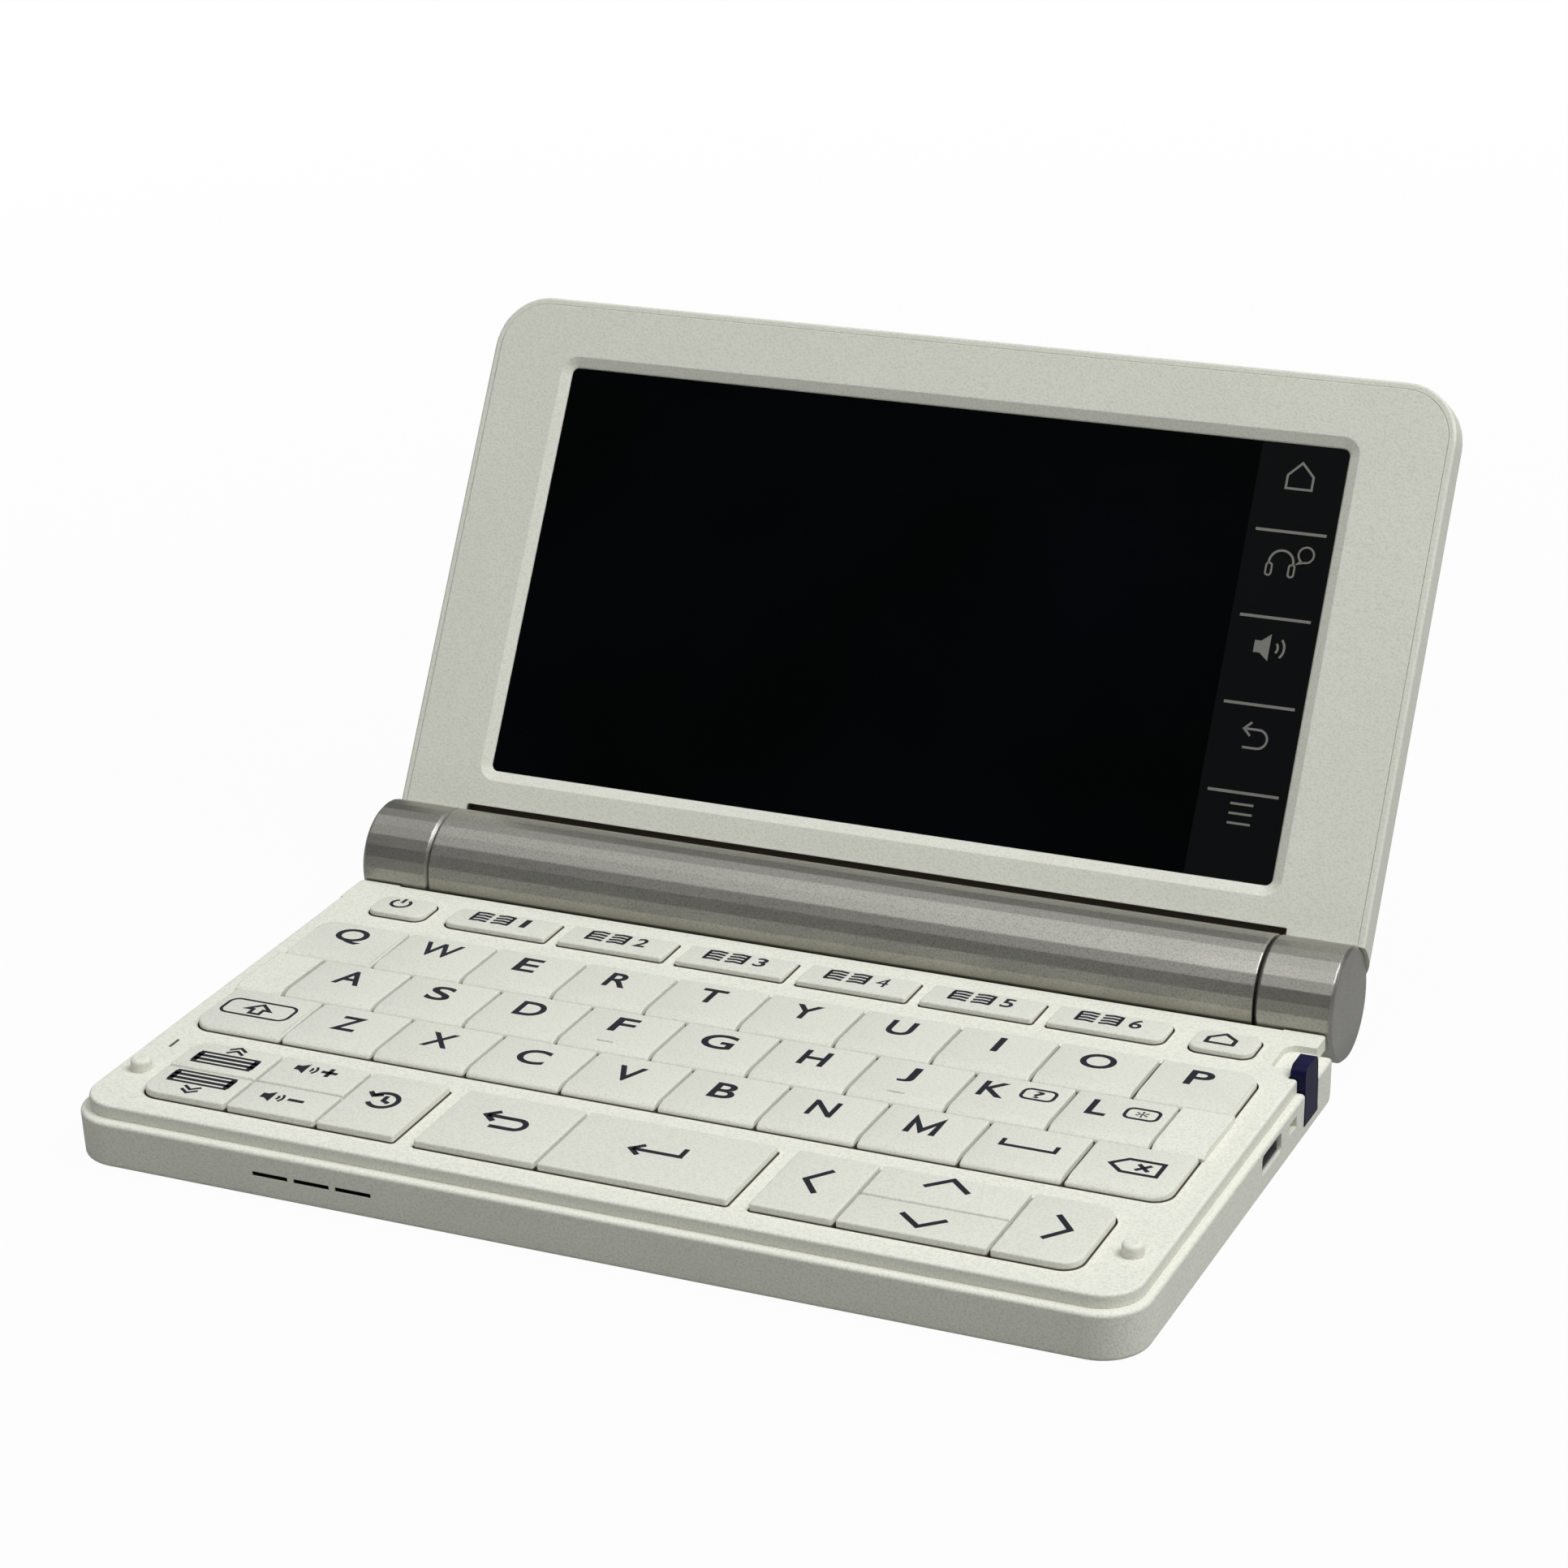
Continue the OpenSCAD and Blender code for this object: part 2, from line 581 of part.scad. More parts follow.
module keyboard_deck() {
    edge_r = 0.4;
    bump_r = 1.4;
    bump_edge_r = 0.6;
    bump_x = case_w / 2 - 4.7;
    bump_y = front_y + 12.3;
    slit = [0.5, 2.4];
    slit_x = -case_w / 2 + 4.5;
    slit_y = front_y + 20.6;
    nail_r = 2;
    nail_t = 0.9;
    nail_in = 5.6;
    nail_y = [-0.4, 6.8];
    stylus_side = 0.45;
    corner_cut = 0.4;
    lip_t = 1;
    lip_gap = 0.1;
    lip_half = inner_half - lip_gap;
    lip_front_y = inner_front_y + lip_gap;
    lip_rear_y = wing_rear_y - wall_t - lip_gap;
    filler_in = len(ROWS[1]) / 2 * letter_pitch + key_gap / 2 + key_clear;
    color(CASE_WHITE) difference() {
        union() {
            swept_slab(-deck_half, deck_front_y, deck_half, deck_rear_y, deck_r) deck_profile(edge_r);
            slab_middle(-deck_half, deck_front_y, deck_half, deck_rear_y, deck_r, rim_z, deck_h);
            // Square rear corners, beside the end caps
            both_ends() translate([deck_half - deck_r - OVER, deck_rear_y - deck_r - OVER, rim_z])
                cube([deck_r + OVER, deck_r + OVER, rim_drop]);
            // Lip that locates the deck inside the case
            translate([0, 0, rim_z - deck_lip_h]) difference() {
                corner_plate(-lip_half, lip_front_y, lip_half, lip_rear_y,
                    [rear_r, rear_r, inner_r, inner_r], deck_lip_h + EPS);
                translate([0, 0, -OVER]) corner_plate(-lip_half + lip_t, lip_front_y + lip_t,
                    lip_half - lip_t, lip_rear_y - lip_t,
                    [rear_r, rear_r, inner_r - lip_t, inner_r - lip_t], FAR);
            }
            // Stops that hold the closed lid off the keys
            both_ends() translate([bump_x, bump_y, deck_h - rim_drop / 2]) rotate_extrude() {
                square([bump_r - bump_edge_r, rim_drop / 2 + stop_h]);
                square([bump_r, rim_drop / 2 + stop_h - bump_edge_r]);
                translate([bump_r - bump_edge_r, rim_drop / 2 + stop_h - bump_edge_r]) circle(bump_edge_r);
            }
        }
        translate([0, 0, -OVER]) key_openings(key_clear);
        // The barrel and the end caps
        hinge_rod(barrel_r + deck_clear / 2, -FAR, FAR);
        // Notch for the stylus head, and the hollow for a fingernail beside it
        stylus_head(stylus_play);
        translate([0, 0, deck_h - nail_t]) corner_plate(case_w / 2 - nail_in, stylus_mid_y + nail_y[0],
            case_w, stylus_mid_y + nail_y[1], [nail_r, nail_r, nail_r, rear_r], FAR);
        // Behind the stylus the deck stands further in
        translate([deck_half - stylus_side, stylus_mid_y, rim_z - EPS]) cube([FAR, FAR, FAR]);
        // Bevelled rear corners
        for (x = [-deck_half, deck_half - stylus_side]) translate([x, deck_rear_y, 0]) rotate([0, 0, 45])
            cube([corner_cut * sqrt(2), corner_cut * sqrt(2), FAR], center = true);
        // Microphone slit
        translate([slit_x - slit[0] / 2, slit_y - slit[1] / 2, -OVER]) cube([slit[0], slit[1], FAR]);
    }
    // Blank half keys fill the middle row at both ends
    for (side = [-1, 1]) color(KEY_WHITE) translate([0, row_front_y[1], deck_h]) rotate([90, 0, 90])
        translate([0, 0, keys_x + side * (block_half + filler_in) / 2])
            linear_extrude(block_half - filler_in + 2 * key_clear, center = true) filler_profile();
}

// Side view of a blank half key, which stands on the deck plate
module filler_profile() {
    intersection() {
        key_profile("letter", letter_d);
        translate([0, -rim_drop]) square([letter_d, FAR]);
    }
}

// Edge of the deck: straight with a small round at the top
module deck_profile(edge_r) {
    polygon([[0, rim_z], [deck_r, rim_z], [deck_r, deck_h - edge_r],
        [deck_r - edge_r, deck_h], [0, deck_h]]);
    translate([deck_r - edge_r, deck_h - edge_r]) circle(edge_r);
}

module hinge_barrel() {
    window = 52;
    color(SATIN_SILVER) difference() {
        faceted_rod(-barrel_half, barrel_half);
        // Room for the cells, then for the hinge units at both ends
        hinge_rod(bore_r, -room_half, room_half);
        both_ends() hinge_rod(bore_r, hinge_unit_x, hinge_unit_x + hinge_unit_len);
        both_ends() hinge_rod(shaft_d / 2 + shaft_fit, room_half - OVER, barrel_half + OVER);
        // The battery cover closes this window from below
        translate([-room_half, hinge_y, hinge_z]) rotate([90, 0, 90]) linear_extrude(2 * room_half)
            polygon([[0, 0], FAR * [-sin(window), -cos(window)], FAR * [sin(window), -cos(window)]]);
    }
}

module hinge_shafts() {
    tight = 0.02;
    color("gainsboro") both_ends() {
        hinge_rod(bore_r - tight, hinge_unit_x, hinge_unit_x + hinge_unit_len);
        hinge_rod(shaft_d / 2, hinge_unit_x + hinge_unit_len - EPS, cap_out_x - cap_wall_t - shaft_end_gap);
    }
}

module batteries() {
    tip_d = 5.2;
    tip_h = 1;
    color("slategray") for (x = [-cell_len - FIT, FIT]) {
        hinge_rod(cell_d / 2, x, x + cell_len - tip_h);
        hinge_rod(tip_d / 2, x + cell_len - tip_h - EPS, x + cell_len);
    }
}

module battery_cover() {
    play = 0.12;
    ridge = 0.6;
    ridge_len = 16;
    ridge_depth = 0.3;
    front = door_y + play;
    half = door_half - play;
    color(CASE_WHITE) difference() {
        union() {
            translate([-half, front, case_z]) cube([2 * half, hinge_y - front, floor_t]);
            cradle(-half, half, barrel_r + FIT);
        }
        hinge_rod(barrel_r + FIT, -FAR, FAR);
        // Grooves for the thumb
        for (i = [1:3]) translate([-ridge_len / 2, front + i * 2 * ridge, 0])
            cube([ridge_len, ridge, case_z + ridge_depth]);
    }
}

// Room for both sockets with a gap round them
module socket_room(gap) {
    translate([socket_x - gap, socket_mid_y - socket_w / 2 - gap, 0]) cube([FAR, socket_w + 2 * gap, FAR]);
    translate([-inner_half + jack_size[0] + gap - FAR, jack_mid_y - jack_size[1] / 2 - gap, 0])
        cube([FAR, jack_size[1] + 2 * gap, FAR]);
}

module main_board() {
    side_gap = 1;
    notch_gap = 0.3;
    shell_t = 0.3;
    shell_size = [socket_depth + wall_t - wall_lean - 0.3, socket_w - 0.5, socket_h - 0.4];
    tongue = [3.6, 4.2, 0.6];
    jack_end_t = 1;
    rear_space = 3;
    speaker = [20, 9, 2.6];
    contact_t = 0.4;
    contact_r = 6;
    // Circuit board, notched round the sockets
    color("darkgreen") difference() {
        translate([0, 0, board_z]) corner_plate(-inner_half + side_gap, inner_front_y + side_gap,
            inner_half - side_gap, deck_rear_y - rear_space, [rear_r, rear_r, inner_r, inner_r], board_t);
        socket_room(notch_gap);
        stylus_head(notch_gap);
        both_ends() translate([cheek_half - wall_t - side_gap, wing_rear_y - wall_t - side_gap, 0])
            cube([FAR, FAR, FAR]);
    }
    // Data socket, a metal shell with its mouth at the case side
    color("silver") translate([socket_x, socket_mid_y, board_z]) {
        difference() {
            translate([0, -shell_size[1] / 2, -shell_size[2] / 2]) cube(shell_size);
            translate([shell_t, -shell_size[1] / 2 + shell_t, -shell_size[2] / 2 + shell_t])
                cube([FAR, shell_size[1] - 2 * shell_t, shell_size[2] - 2 * shell_t]);
        }
        translate([shell_t - EPS, -tongue[1] / 2, -tongue[2] / 2]) cube(tongue);
    }
    // Earphone socket
    color("dimgray") difference() {
        translate([-inner_half, jack_mid_y - jack_size[1] / 2, floor_z]) cube(jack_size);
        translate([-inner_half - OVER, jack_mid_y, jack_z]) rotate([0, 90, 0])
            cylinder(h = jack_size[0] - jack_end_t + OVER, d = plug_d + plug_play);
    }
    // Loudspeaker behind its slots
    color("dimgray") translate([slots_x - speaker[0] / 2, inner_front_y, floor_z]) cube(speaker);
    // Contact plates at both ends of the cells
    color("silver") both_ends() hinge_rod(contact_r, room_half - contact_t, room_half);
}

module key_sheet() {
    dome_r = 2.2;
    border = 0.5;
    color("lightgray") {
        difference() {
            translate([0, 0, sheet_z]) corner_plate(keys_x - block_half, cluster_y - border,
                keys_x + block_half, books_y + book_d + border, [rear_r, rear_r, block_r, block_r], sheet_t);
            stylus_head(border);
            socket_room(border);
        }
        for (k = KEYS) if (k[6] != "rocker") translate([k[1], k[2] + k[4] / 2, sheet_z + sheet_t - EPS])
            cylinder(h = dome_h + EPS, r = dome_r);
    }
}

module stylus() {
    shaft_w = stylus_w - 2 * stylus_play;
    tip_len = 9;
    tip_r = 0.8;
    x0 = case_w / 2 - stylus_len;
    mid_z = stylus_z + stylus_t / 2;
    color(NAVY) {
        stylus_head(0);
        // Flat shaft with round edges
        translate([x0 + tip_len, stylus_mid_y, mid_z]) rotate([90, 0, 90])
            linear_extrude(stylus_len - tip_len - head_in + EPS) {
                square([shaft_w - stylus_t, stylus_t], center = true);
                for (s = [-1, 1]) translate([s * (shaft_w - stylus_t) / 2, 0]) circle(stylus_t / 2);
            }
    }
    color("whitesmoke") translate([x0, stylus_mid_y, mid_z]) rotate([0, 90, 0]) {
        translate([0, 0, tip_r]) sphere(tip_r);
        translate([0, 0, tip_r]) cylinder(h = tip_len / 2, r = tip_r);
        translate([0, 0, tip_len / 2]) cylinder(h = tip_len / 2 + EPS, r1 = tip_r, r2 = stylus_t / 2);
    }
}

// Keys

// Side view of a key of depth d, with its front at 0
module key_profile(kind, d) {
    foot = key_z - deck_h;
    steps = 6;
    sweep = 65;
    rear = kind == "letter" ? key_rise - rear_fall : kind == "book" ? key_rise * 0.5 : key_rise;
    front = kind == "book" ? key_rise * 0.8 : key_rise;
    polygon(concat(
        [[0, foot]],
        kind == "letter" ? [for (i = [0:steps]) let (a = sweep * (1 - i / steps))
            [front_round * (1 - sin(a) / sin(sweep)), front - front_fall * (1 - cos(a)) / (1 - cos(sweep))]]
            : [[0, front]],
        [[d, rear], [d, foot]]
    ));
}

module key_cap(k) {
    w = k[3];
    d = k[4];
    groove = 0.5;
    bar = [2.6, 0.5, 0.15];
    bar_x = -0.45;
    color(KEY_WHITE) translate([k[1], k[2], deck_h]) {
        difference() {
            intersection() {
                translate([0, 0, key_z - deck_h]) corner_plate(-w / 2, 0, w / 2, d, k[5], FAR);
                rotate([90, 0, 90]) linear_extrude(w + OVER, center = true) key_profile(k[6], d);
            }
            if (k[6] == "rocker") translate([-w, (d - groove) / 2, key_rise / 2]) cube([2 * w, groove, FAR]);
        }
        // Bar that the forefinger feels
        if (len([for (name = HOMING) if (name == k[0]) name]) > 0)
            translate([bar_x - bar[0] / 2, front_round, key_rise - bar[1]])
                cube([bar[0], bar[1], bar[1] + bar[2]]);
    }
}

// Lid, in its own axes

module lid_profile() {
    rim_r = 0.4;
    back = -lid_back;
    front = -lid_set_back - lid_step;
    polygon([[0, back], [lid_r - lid_edge_r, back], [lid_r, back + lid_edge_r], [lid_r, front - rim_r],
        [lid_r - rim_r, front], [0, front]]);
    translate([lid_r - lid_edge_r, back + lid_edge_r]) circle(lid_edge_r);
    translate([lid_r - rim_r, front - rim_r]) circle(rim_r);
}

// What is cut from both lid shells for the barrel and the end caps
module barrel_cut() {
    rotate([90, 0, 90]) {
        cylinder(h = 2 * (barrel_half + seam), r = cut_r, center = true, $fn = ROUND);
        translate([0, 0, -FAR]) cylinder(h = 2 * FAR, r = barrel_r + FIT, $fn = ROUND);
    }
    translate([-FAR, -FAR, -FAR]) cube([2 * FAR, FAR, 2 * FAR]);
}

module lid_cover() {
    seat_r = lid_r - lid_rim;
    pad = 8;
    pad_x = glass_w / 2 - pad;
    color(CASE_WHITE) difference() {
        union() {
            difference() {
                union() {
                    swept_slab(-lid_half, -lid_r, lid_half, lid_len, lid_r) lid_profile();
                    slab_middle(-lid_half, -lid_r, lid_half, lid_len, lid_r,
                        -lid_back, -lid_set_back - lid_step);
                }
                // Hollow for the screen, with a curved wall left along the barrel
                difference() {
                    translate([0, 0, -lid_back + cover_t])
                        corner_plate(-hollow_half, 0, hollow_half, lid_len - lid_rim - cover_ledge,
                            [seat_r - cover_ledge, seat_r - cover_ledge, rear_r, rear_r], FAR);
                    rotate([90, 0, 90]) cylinder(h = 2 * (barrel_half + seam + cover_t),
                        r = cut_r + cover_t, center = true, $fn = ROUND);
                }
            }
            // Pads under the screen
            for (x = [-pad_x, pad_x], v = [glass_v + pad, glass_v + glass_h - pad])
                translate([x - pad / 2, v - pad / 2, -lid_back + cover_t - EPS])
                    cube([pad, pad, panel_z + lid_back - cover_t + EPS]);
        }
        // Seat of the bezel
        translate([0, 0, -lid_set_back - bezel_t])
            corner_plate(-bezel_half, -FAR, bezel_half, lid_len - lid_rim,
                [seat_r, seat_r, rear_r, rear_r], FAR);
        barrel_cut();
    }
}

module lid_bezel() {
    seat_r = lid_r - lid_rim - FIT;
    half = bezel_half - FIT;
    seat = glass_lap + FIT;
    recess_r = 2.6;
    color(CASE_WHITE) difference() {
        translate([0, 0, -lid_set_back - bezel_t])
            corner_plate(-half, 0, half, lid_len - lid_rim - FIT,
                [seat_r, seat_r, rear_r, rear_r], bezel_t);
        // Recess that slopes down to the glass
        translate([glass_x, glass_v + glass_h / 2, 0]) {
            swept_slab(-glass_w / 2 - recess_slope, -glass_h / 2 - recess_slope, glass_w / 2 + recess_slope,
                glass_h / 2 + recess_slope, recess_r) recess_profile(recess_r);
            slab_middle(-glass_w / 2 - recess_slope, -glass_h / 2 - recess_slope, glass_w / 2 + recess_slope,
                glass_h / 2 + recess_slope, recess_r, -lid_set_back - recess_t - EPS, 0);
            // Seat of the glass, behind the recess
            translate([0, 0, -lid_back]) linear_extrude(lid_back - lid_set_back - recess_t)
                square([glass_w + 2 * seat, glass_h + 2 * seat], center = true);
        }
        barrel_cut();
        // Slot along the barrel
        translate([-barrel_half - seam, -FAR, -FAR])
            cube([2 * (barrel_half + seam), FAR + barrel_r + bezel_gap, 2 * FAR]);
    }
}

// Slope from the bezel down to the glass
module recess_profile(r) {
    polygon([[0, -lid_set_back - recess_t - EPS], [r - recess_slope, -lid_set_back - recess_t - EPS],
        [r, -lid_set_back], [r, 0], [0, 0]]);
}

module display_glass() {
    color([0.03, 0.03, 0.04]) translate([glass_x, glass_v + glass_h / 2, glass_z])
        linear_extrude(glass_t) square([glass_w + 2 * glass_lap, glass_h + 2 * glass_lap], center = true);
}

module lcd_module() {
    color("dimgray") translate([glass_x, glass_v + glass_h / 2, panel_z])
        linear_extrude(panel_t) square([glass_w + 2 * panel_lap, glass_h + 2 * panel_lap], center = true);
}

// The end caps turn with the lid
module hinge_end_caps() {
    chamfer = 0.45;
    seam_chamfer = 0.5;
    lug_gap = 0.2;
    lug_x1 = hollow_half - lug_gap;
    lug_x0 = min(cap_in_x + 1, lug_x1 - 1);
    lug = [lug_x1 - lug_x0, 9, 2.2];
    lug_sink = 3;
    color(SATIN_SILVER) both_ends() difference() {
        union() {
            intersection() {
                translate([0, -hinge_y, -hinge_z]) faceted_rod(cap_in_x, cap_out_x);
                // Bevelled edges
                translate([cap_in_x, 0, 0]) rotate([90, 0, 90]) rotate_extrude($fn = ROUND)
                    polygon([[0, 0], [barrel_r - seam_chamfer, 0], [barrel_r, seam_chamfer],
                        [barrel_r, cap_len - chamfer], [barrel_r - chamfer, cap_len], [0, cap_len]]);
            }
            // Lug that carries the lid
            translate([lug_x0, barrel_r - lug_sink, -lid_set_back - bezel_t - lug[2]]) cube(lug);
        }
        translate([cap_in_x - OVER, 0, 0]) rotate([90, 0, 90])
            cylinder(h = OVER + cap_len - cap_wall_t, r = shaft_d / 2 + shaft_fit, $fn = ROUND);
    }
}

in_base() bottom_case();
in_base() keyboard_deck();
in_base() hinge_barrel();
in_base() hinge_shafts();
in_base() battery_cover();
in_base() batteries();
in_base() main_board();
in_base() key_sheet();
in_base() rubber_feet();
in_base() stylus();
in_lid() hinge_end_caps();
in_lid() lid_cover();
in_lid() lid_bezel();
in_lid() display_glass();
in_lid() lcd_module();
for (k = KEYS) in_base() key_cap(k);
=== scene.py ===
import json
import math

import bmesh
import bpy
from mathutils import Euler, Matrix, Vector


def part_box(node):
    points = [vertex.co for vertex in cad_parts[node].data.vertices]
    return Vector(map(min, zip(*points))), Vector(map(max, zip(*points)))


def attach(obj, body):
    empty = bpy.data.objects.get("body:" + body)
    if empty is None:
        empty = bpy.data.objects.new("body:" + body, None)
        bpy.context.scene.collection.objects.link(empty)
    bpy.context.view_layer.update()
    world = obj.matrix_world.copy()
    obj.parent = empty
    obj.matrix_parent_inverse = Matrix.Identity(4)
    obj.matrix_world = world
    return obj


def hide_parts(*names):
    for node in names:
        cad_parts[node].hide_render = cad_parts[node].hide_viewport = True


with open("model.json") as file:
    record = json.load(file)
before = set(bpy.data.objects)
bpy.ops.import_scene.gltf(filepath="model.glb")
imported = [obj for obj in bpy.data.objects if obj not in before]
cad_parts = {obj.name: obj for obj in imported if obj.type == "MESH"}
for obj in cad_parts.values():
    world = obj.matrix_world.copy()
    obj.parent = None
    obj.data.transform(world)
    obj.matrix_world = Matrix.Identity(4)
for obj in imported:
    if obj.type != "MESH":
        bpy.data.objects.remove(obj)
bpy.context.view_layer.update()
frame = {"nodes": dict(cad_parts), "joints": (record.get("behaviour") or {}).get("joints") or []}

mm = 0.001
nodes = frame["nodes"]
hingePlace = Vector(frame["joints"][0]["pos_m"])  # the lid turns about this point
print("frame loaded:", len(nodes), "nodes")


# materials

class Wire:
    # one output socket of a node, which can be used in sums

    def __init__(self, socket):
        self.socket = socket
        self.tree = socket.id_data

    def node(self, kind, settings=None, inputs=None, output=0):
        made = self.tree.nodes.new(kind)
        for name, value in (settings or {}).items():
            if name == "stops":
                ramp = made.color_ramp
                while len(ramp.elements) < len(value):
                    ramp.elements.new(0.5)
                for element, (place, colour) in zip(ramp.elements, value):
                    element.position = place
                    element.color = colour
            else:
                setattr(made, name, value)
        for name, value in (inputs or {}).items():
            if isinstance(value, Wire):
                self.tree.links.new(value.socket, made.inputs[name])
            else:
                made.inputs[name].default_value = value
        return Wire(made.outputs[output])

    def maths(self, operation, *values, clamp=False):
        settings = {"operation": operation, "use_clamp": clamp}
        return self.node("ShaderNodeMath", settings, dict(enumerate(values)))

    def vector(self, operation, *values, output=0):
        settings = {"operation": operation}
        return self.node("ShaderNodeVectorMath", settings, dict(enumerate(values)), output)

    def between(self, low, high):  # colour between two, by this value
        settings = {"data_type": "RGBA", "clamp_factor": True}
        inputs = {0: self, 6: low, 7: high}  # the Mix node's factor and its two colours
        return self.node("ShaderNodeMix", settings, inputs, 2)

    def noise(self, size, detail=2.0, rough=0.5):  # grey noise whose grains are size mm across
        inputs = {"Vector": self, "Scale": 1 / (size * mm), "Detail": detail, "Roughness": rough}
        return self.node("ShaderNodeTexNoise", {}, inputs)

    def steps(self, *stops):  # grey ramp through (place, grey) stops
        greys = [(place, (grey, grey, grey, 1)) for place, grey in stops]
        return self.node("ShaderNodeValToRGB", {"stops": greys}, {0: self})

    def within(self, middle, half):  # 1 inside a box in mm, 0 outside
        masks = []
        for axis, centre, reach in zip("XYZ", middle, half):
            part = self.node("ShaderNodeSeparateXYZ", {}, {0: self}, axis)
            masks.append(part.maths("COMPARE", part, centre * mm, reach * mm))
        return masks[0] * masks[1] * masks[2]

    def __add__(self, other):
        return self.maths("ADD", self, other)

    def __sub__(self, other):
        return self.maths("SUBTRACT", self, other)

    def __rsub__(self, other):
        return self.maths("SUBTRACT", other, self)

    def __mul__(self, other):
        return self.maths("MULTIPLY", self, other)

    def __truediv__(self, other):
        return self.maths("DIVIDE", self, other)

    def __rtruediv__(self, other):
        return self.maths("DIVIDE", other, self)

    __radd__ = __add__
    __rmul__ = __mul__


def srgb(red, green, blue):  # colour as an image shows it, 0 to 255
    def linear(value):
        value /= 255
        return value / 12.92 if value <= 0.04045 else ((value + 0.055) / 1.055) ** 2.4
    return (linear(red), linear(green), linear(blue), 1)


def newMaterial(name):
    material = bpy.data.materials.new(name)
    material.use_nodes = True
    material.node_tree.nodes.clear()
    coordinates = material.node_tree.nodes.new("ShaderNodeTexCoord")
    return material, Wire(coordinates.outputs["Object"])


def setSurface(place, shader):
    output = place.tree.nodes.new("ShaderNodeOutputMaterial")
    place.tree.links.new(shader.socket, output.inputs["Surface"])


def edgeMask(place, look):
    # the rounded normal of Bevel, and how far it turns from the face: 0 on a face, 1 at its edge
    samples, radius = look["edgeSamples"], look["edge"] * mm
    rounded = place.node("ShaderNodeBevel", {"samples": samples}, {"Radius": radius})
    plain = place.node("ShaderNodeNewGeometry", {}, {}, "Normal")
    turn = place.vector("DOT_PRODUCT", rounded, plain, output="Value")
    return rounded, place.maths("MULTIPLY", 1 - turn, look["edgeGain"], clamp=True)


usualLook = {  # what a finish has unless its own settings say otherwise
    "grainNoise": (3.0, 0.6), "pits": ((0.35, 1), (0.55, 0)), "speck": 0.25, "strength": 0.5,
    "broad": 14, "broadNoise": (3.0, 0.55), "clouds": ((0.3, 0), (0.7, 1)),
    "edgeSamples": 6, "edgeGain": 6.0, "wear": 0.3, "polished": 0.08, "uneven": 0.06,
    "metal": 0.0, "shine": 0.5, "coat": 0.0, "coatRough": 0.2, "zones": (),
}


def finish(name, ownLook):
    # one moulded, painted or metal finish: grain, broad unevenness, worn edges
    look = {**usualLook, **ownLook}
    material, place = newMaterial(name)
    fine = place.noise(look["grain"], *look["grainNoise"])
    clouds = place.noise(look["broad"], *look["broadNoise"]).steps(*look["clouds"])
    rounded, edge = edgeMask(place, look)
    colour = clouds.between(look["colour"], look["shade"])
    colour = (fine.steps(*look["pits"]) * look["speck"]).between(colour, look["pit"])
    colour = (edge * look["wear"]).between(colour, look["worn"])
    if "paintedShade" in look:  # painted shade: a darker colour towards the foot, between two heights in mm
        foot, low, high = look["paintedShade"]
        height = place.node("ShaderNodeSeparateXYZ", {}, {0: place}, "Z")
        colour = ((high * mm - height) / ((high - low) * mm)).between(colour, foot)
    metal = look["metal"]
    for zone in look["zones"]:  # boxes of another colour, as (middle, half size) in mm
        for middle, half in zone["boxes"]:
            mask = place.within(middle, half)
            colour = mask.between(colour, zone["colour"])
            if "metal" in zone:
                metal = mask * zone["metal"] + (1 - mask) * metal
    low, high = look["rough"]
    rough = low + (high - low) * clouds - look["polished"] * edge + look["uneven"] * (fine - 0.5)
    bump = place.node("ShaderNodeBump", {}, {
        "Strength": look["strength"], "Distance": look["depth"] * mm, "Height": fine,
        "Normal": rounded})
    shader = place.node("ShaderNodeBsdfPrincipled", {}, {
        "Base Color": colour, "Roughness": rough, "Normal": bump, "Metallic": metal,
        "Specular IOR Level": look["shine"], "Coat Weight": look["coat"],
        "Coat Roughness": look["coatRough"]})
    setSurface(place, shader)
    return material


caseLook = {
    "colour": srgb(234, 235, 224), "shade": srgb(230, 231, 220), "pit": srgb(203, 204, 192),
    "worn": srgb(240, 240, 232), "grain": 0.34, "depth": 0.045, "rough": (0.5, 0.6), "edge": 0.2,
    "strength": 1.0, "shine": 0.4, "speck": 0.6,
    "zones": [
        {"colour": srgb(120, 112, 98),  # painted shade on the sides of the key openings
         "boxes": [((-0.4, -34.15, 7.6), (70.3, 28.4, 0.95)),
                   ((-0.4, 1.95, 7.6), (66.5, 3.4, 0.95))]},
        {"colour": srgb(30, 29, 26),  # painted shade in the loudspeaker slots, near black
         "boxes": [((-37, -66.75, 3.7), (9.6, 0.8, 0.34))]},
    ],
}
# the lid is the case plastic made a little darker: painted shade, so that the lid looks less lit
lidLook = {
    **caseLook, "colour": srgb(227, 228, 217), "shade": srgb(223, 224, 213),
    "zones": [
        {"colour": srgb(70, 62, 52),  # painted shade in the slot along the barrel
         "boxes": [((0, 23.9, 15.9), (62.7, 1.8, 0.93))]},
    ],
}
keyLook = {
    "colour": srgb(226, 227, 217), "shade": srgb(222, 223, 213), "pit": srgb(199, 200, 189),
    "worn": srgb(236, 236, 228), "grain": 0.32, "depth": 0.04, "rough": (0.42, 0.5), "edge": 0.08,
    "strength": 0.9, "shine": 0.4, "broad": 9, "speck": 0.55,
    "zones": [
        {"colour": srgb(110, 102, 88),  # painted shade on the key sides below the deck
         "boxes": [((0, 0, 7.6), (90, 90, 1.2))]},
    ],
}
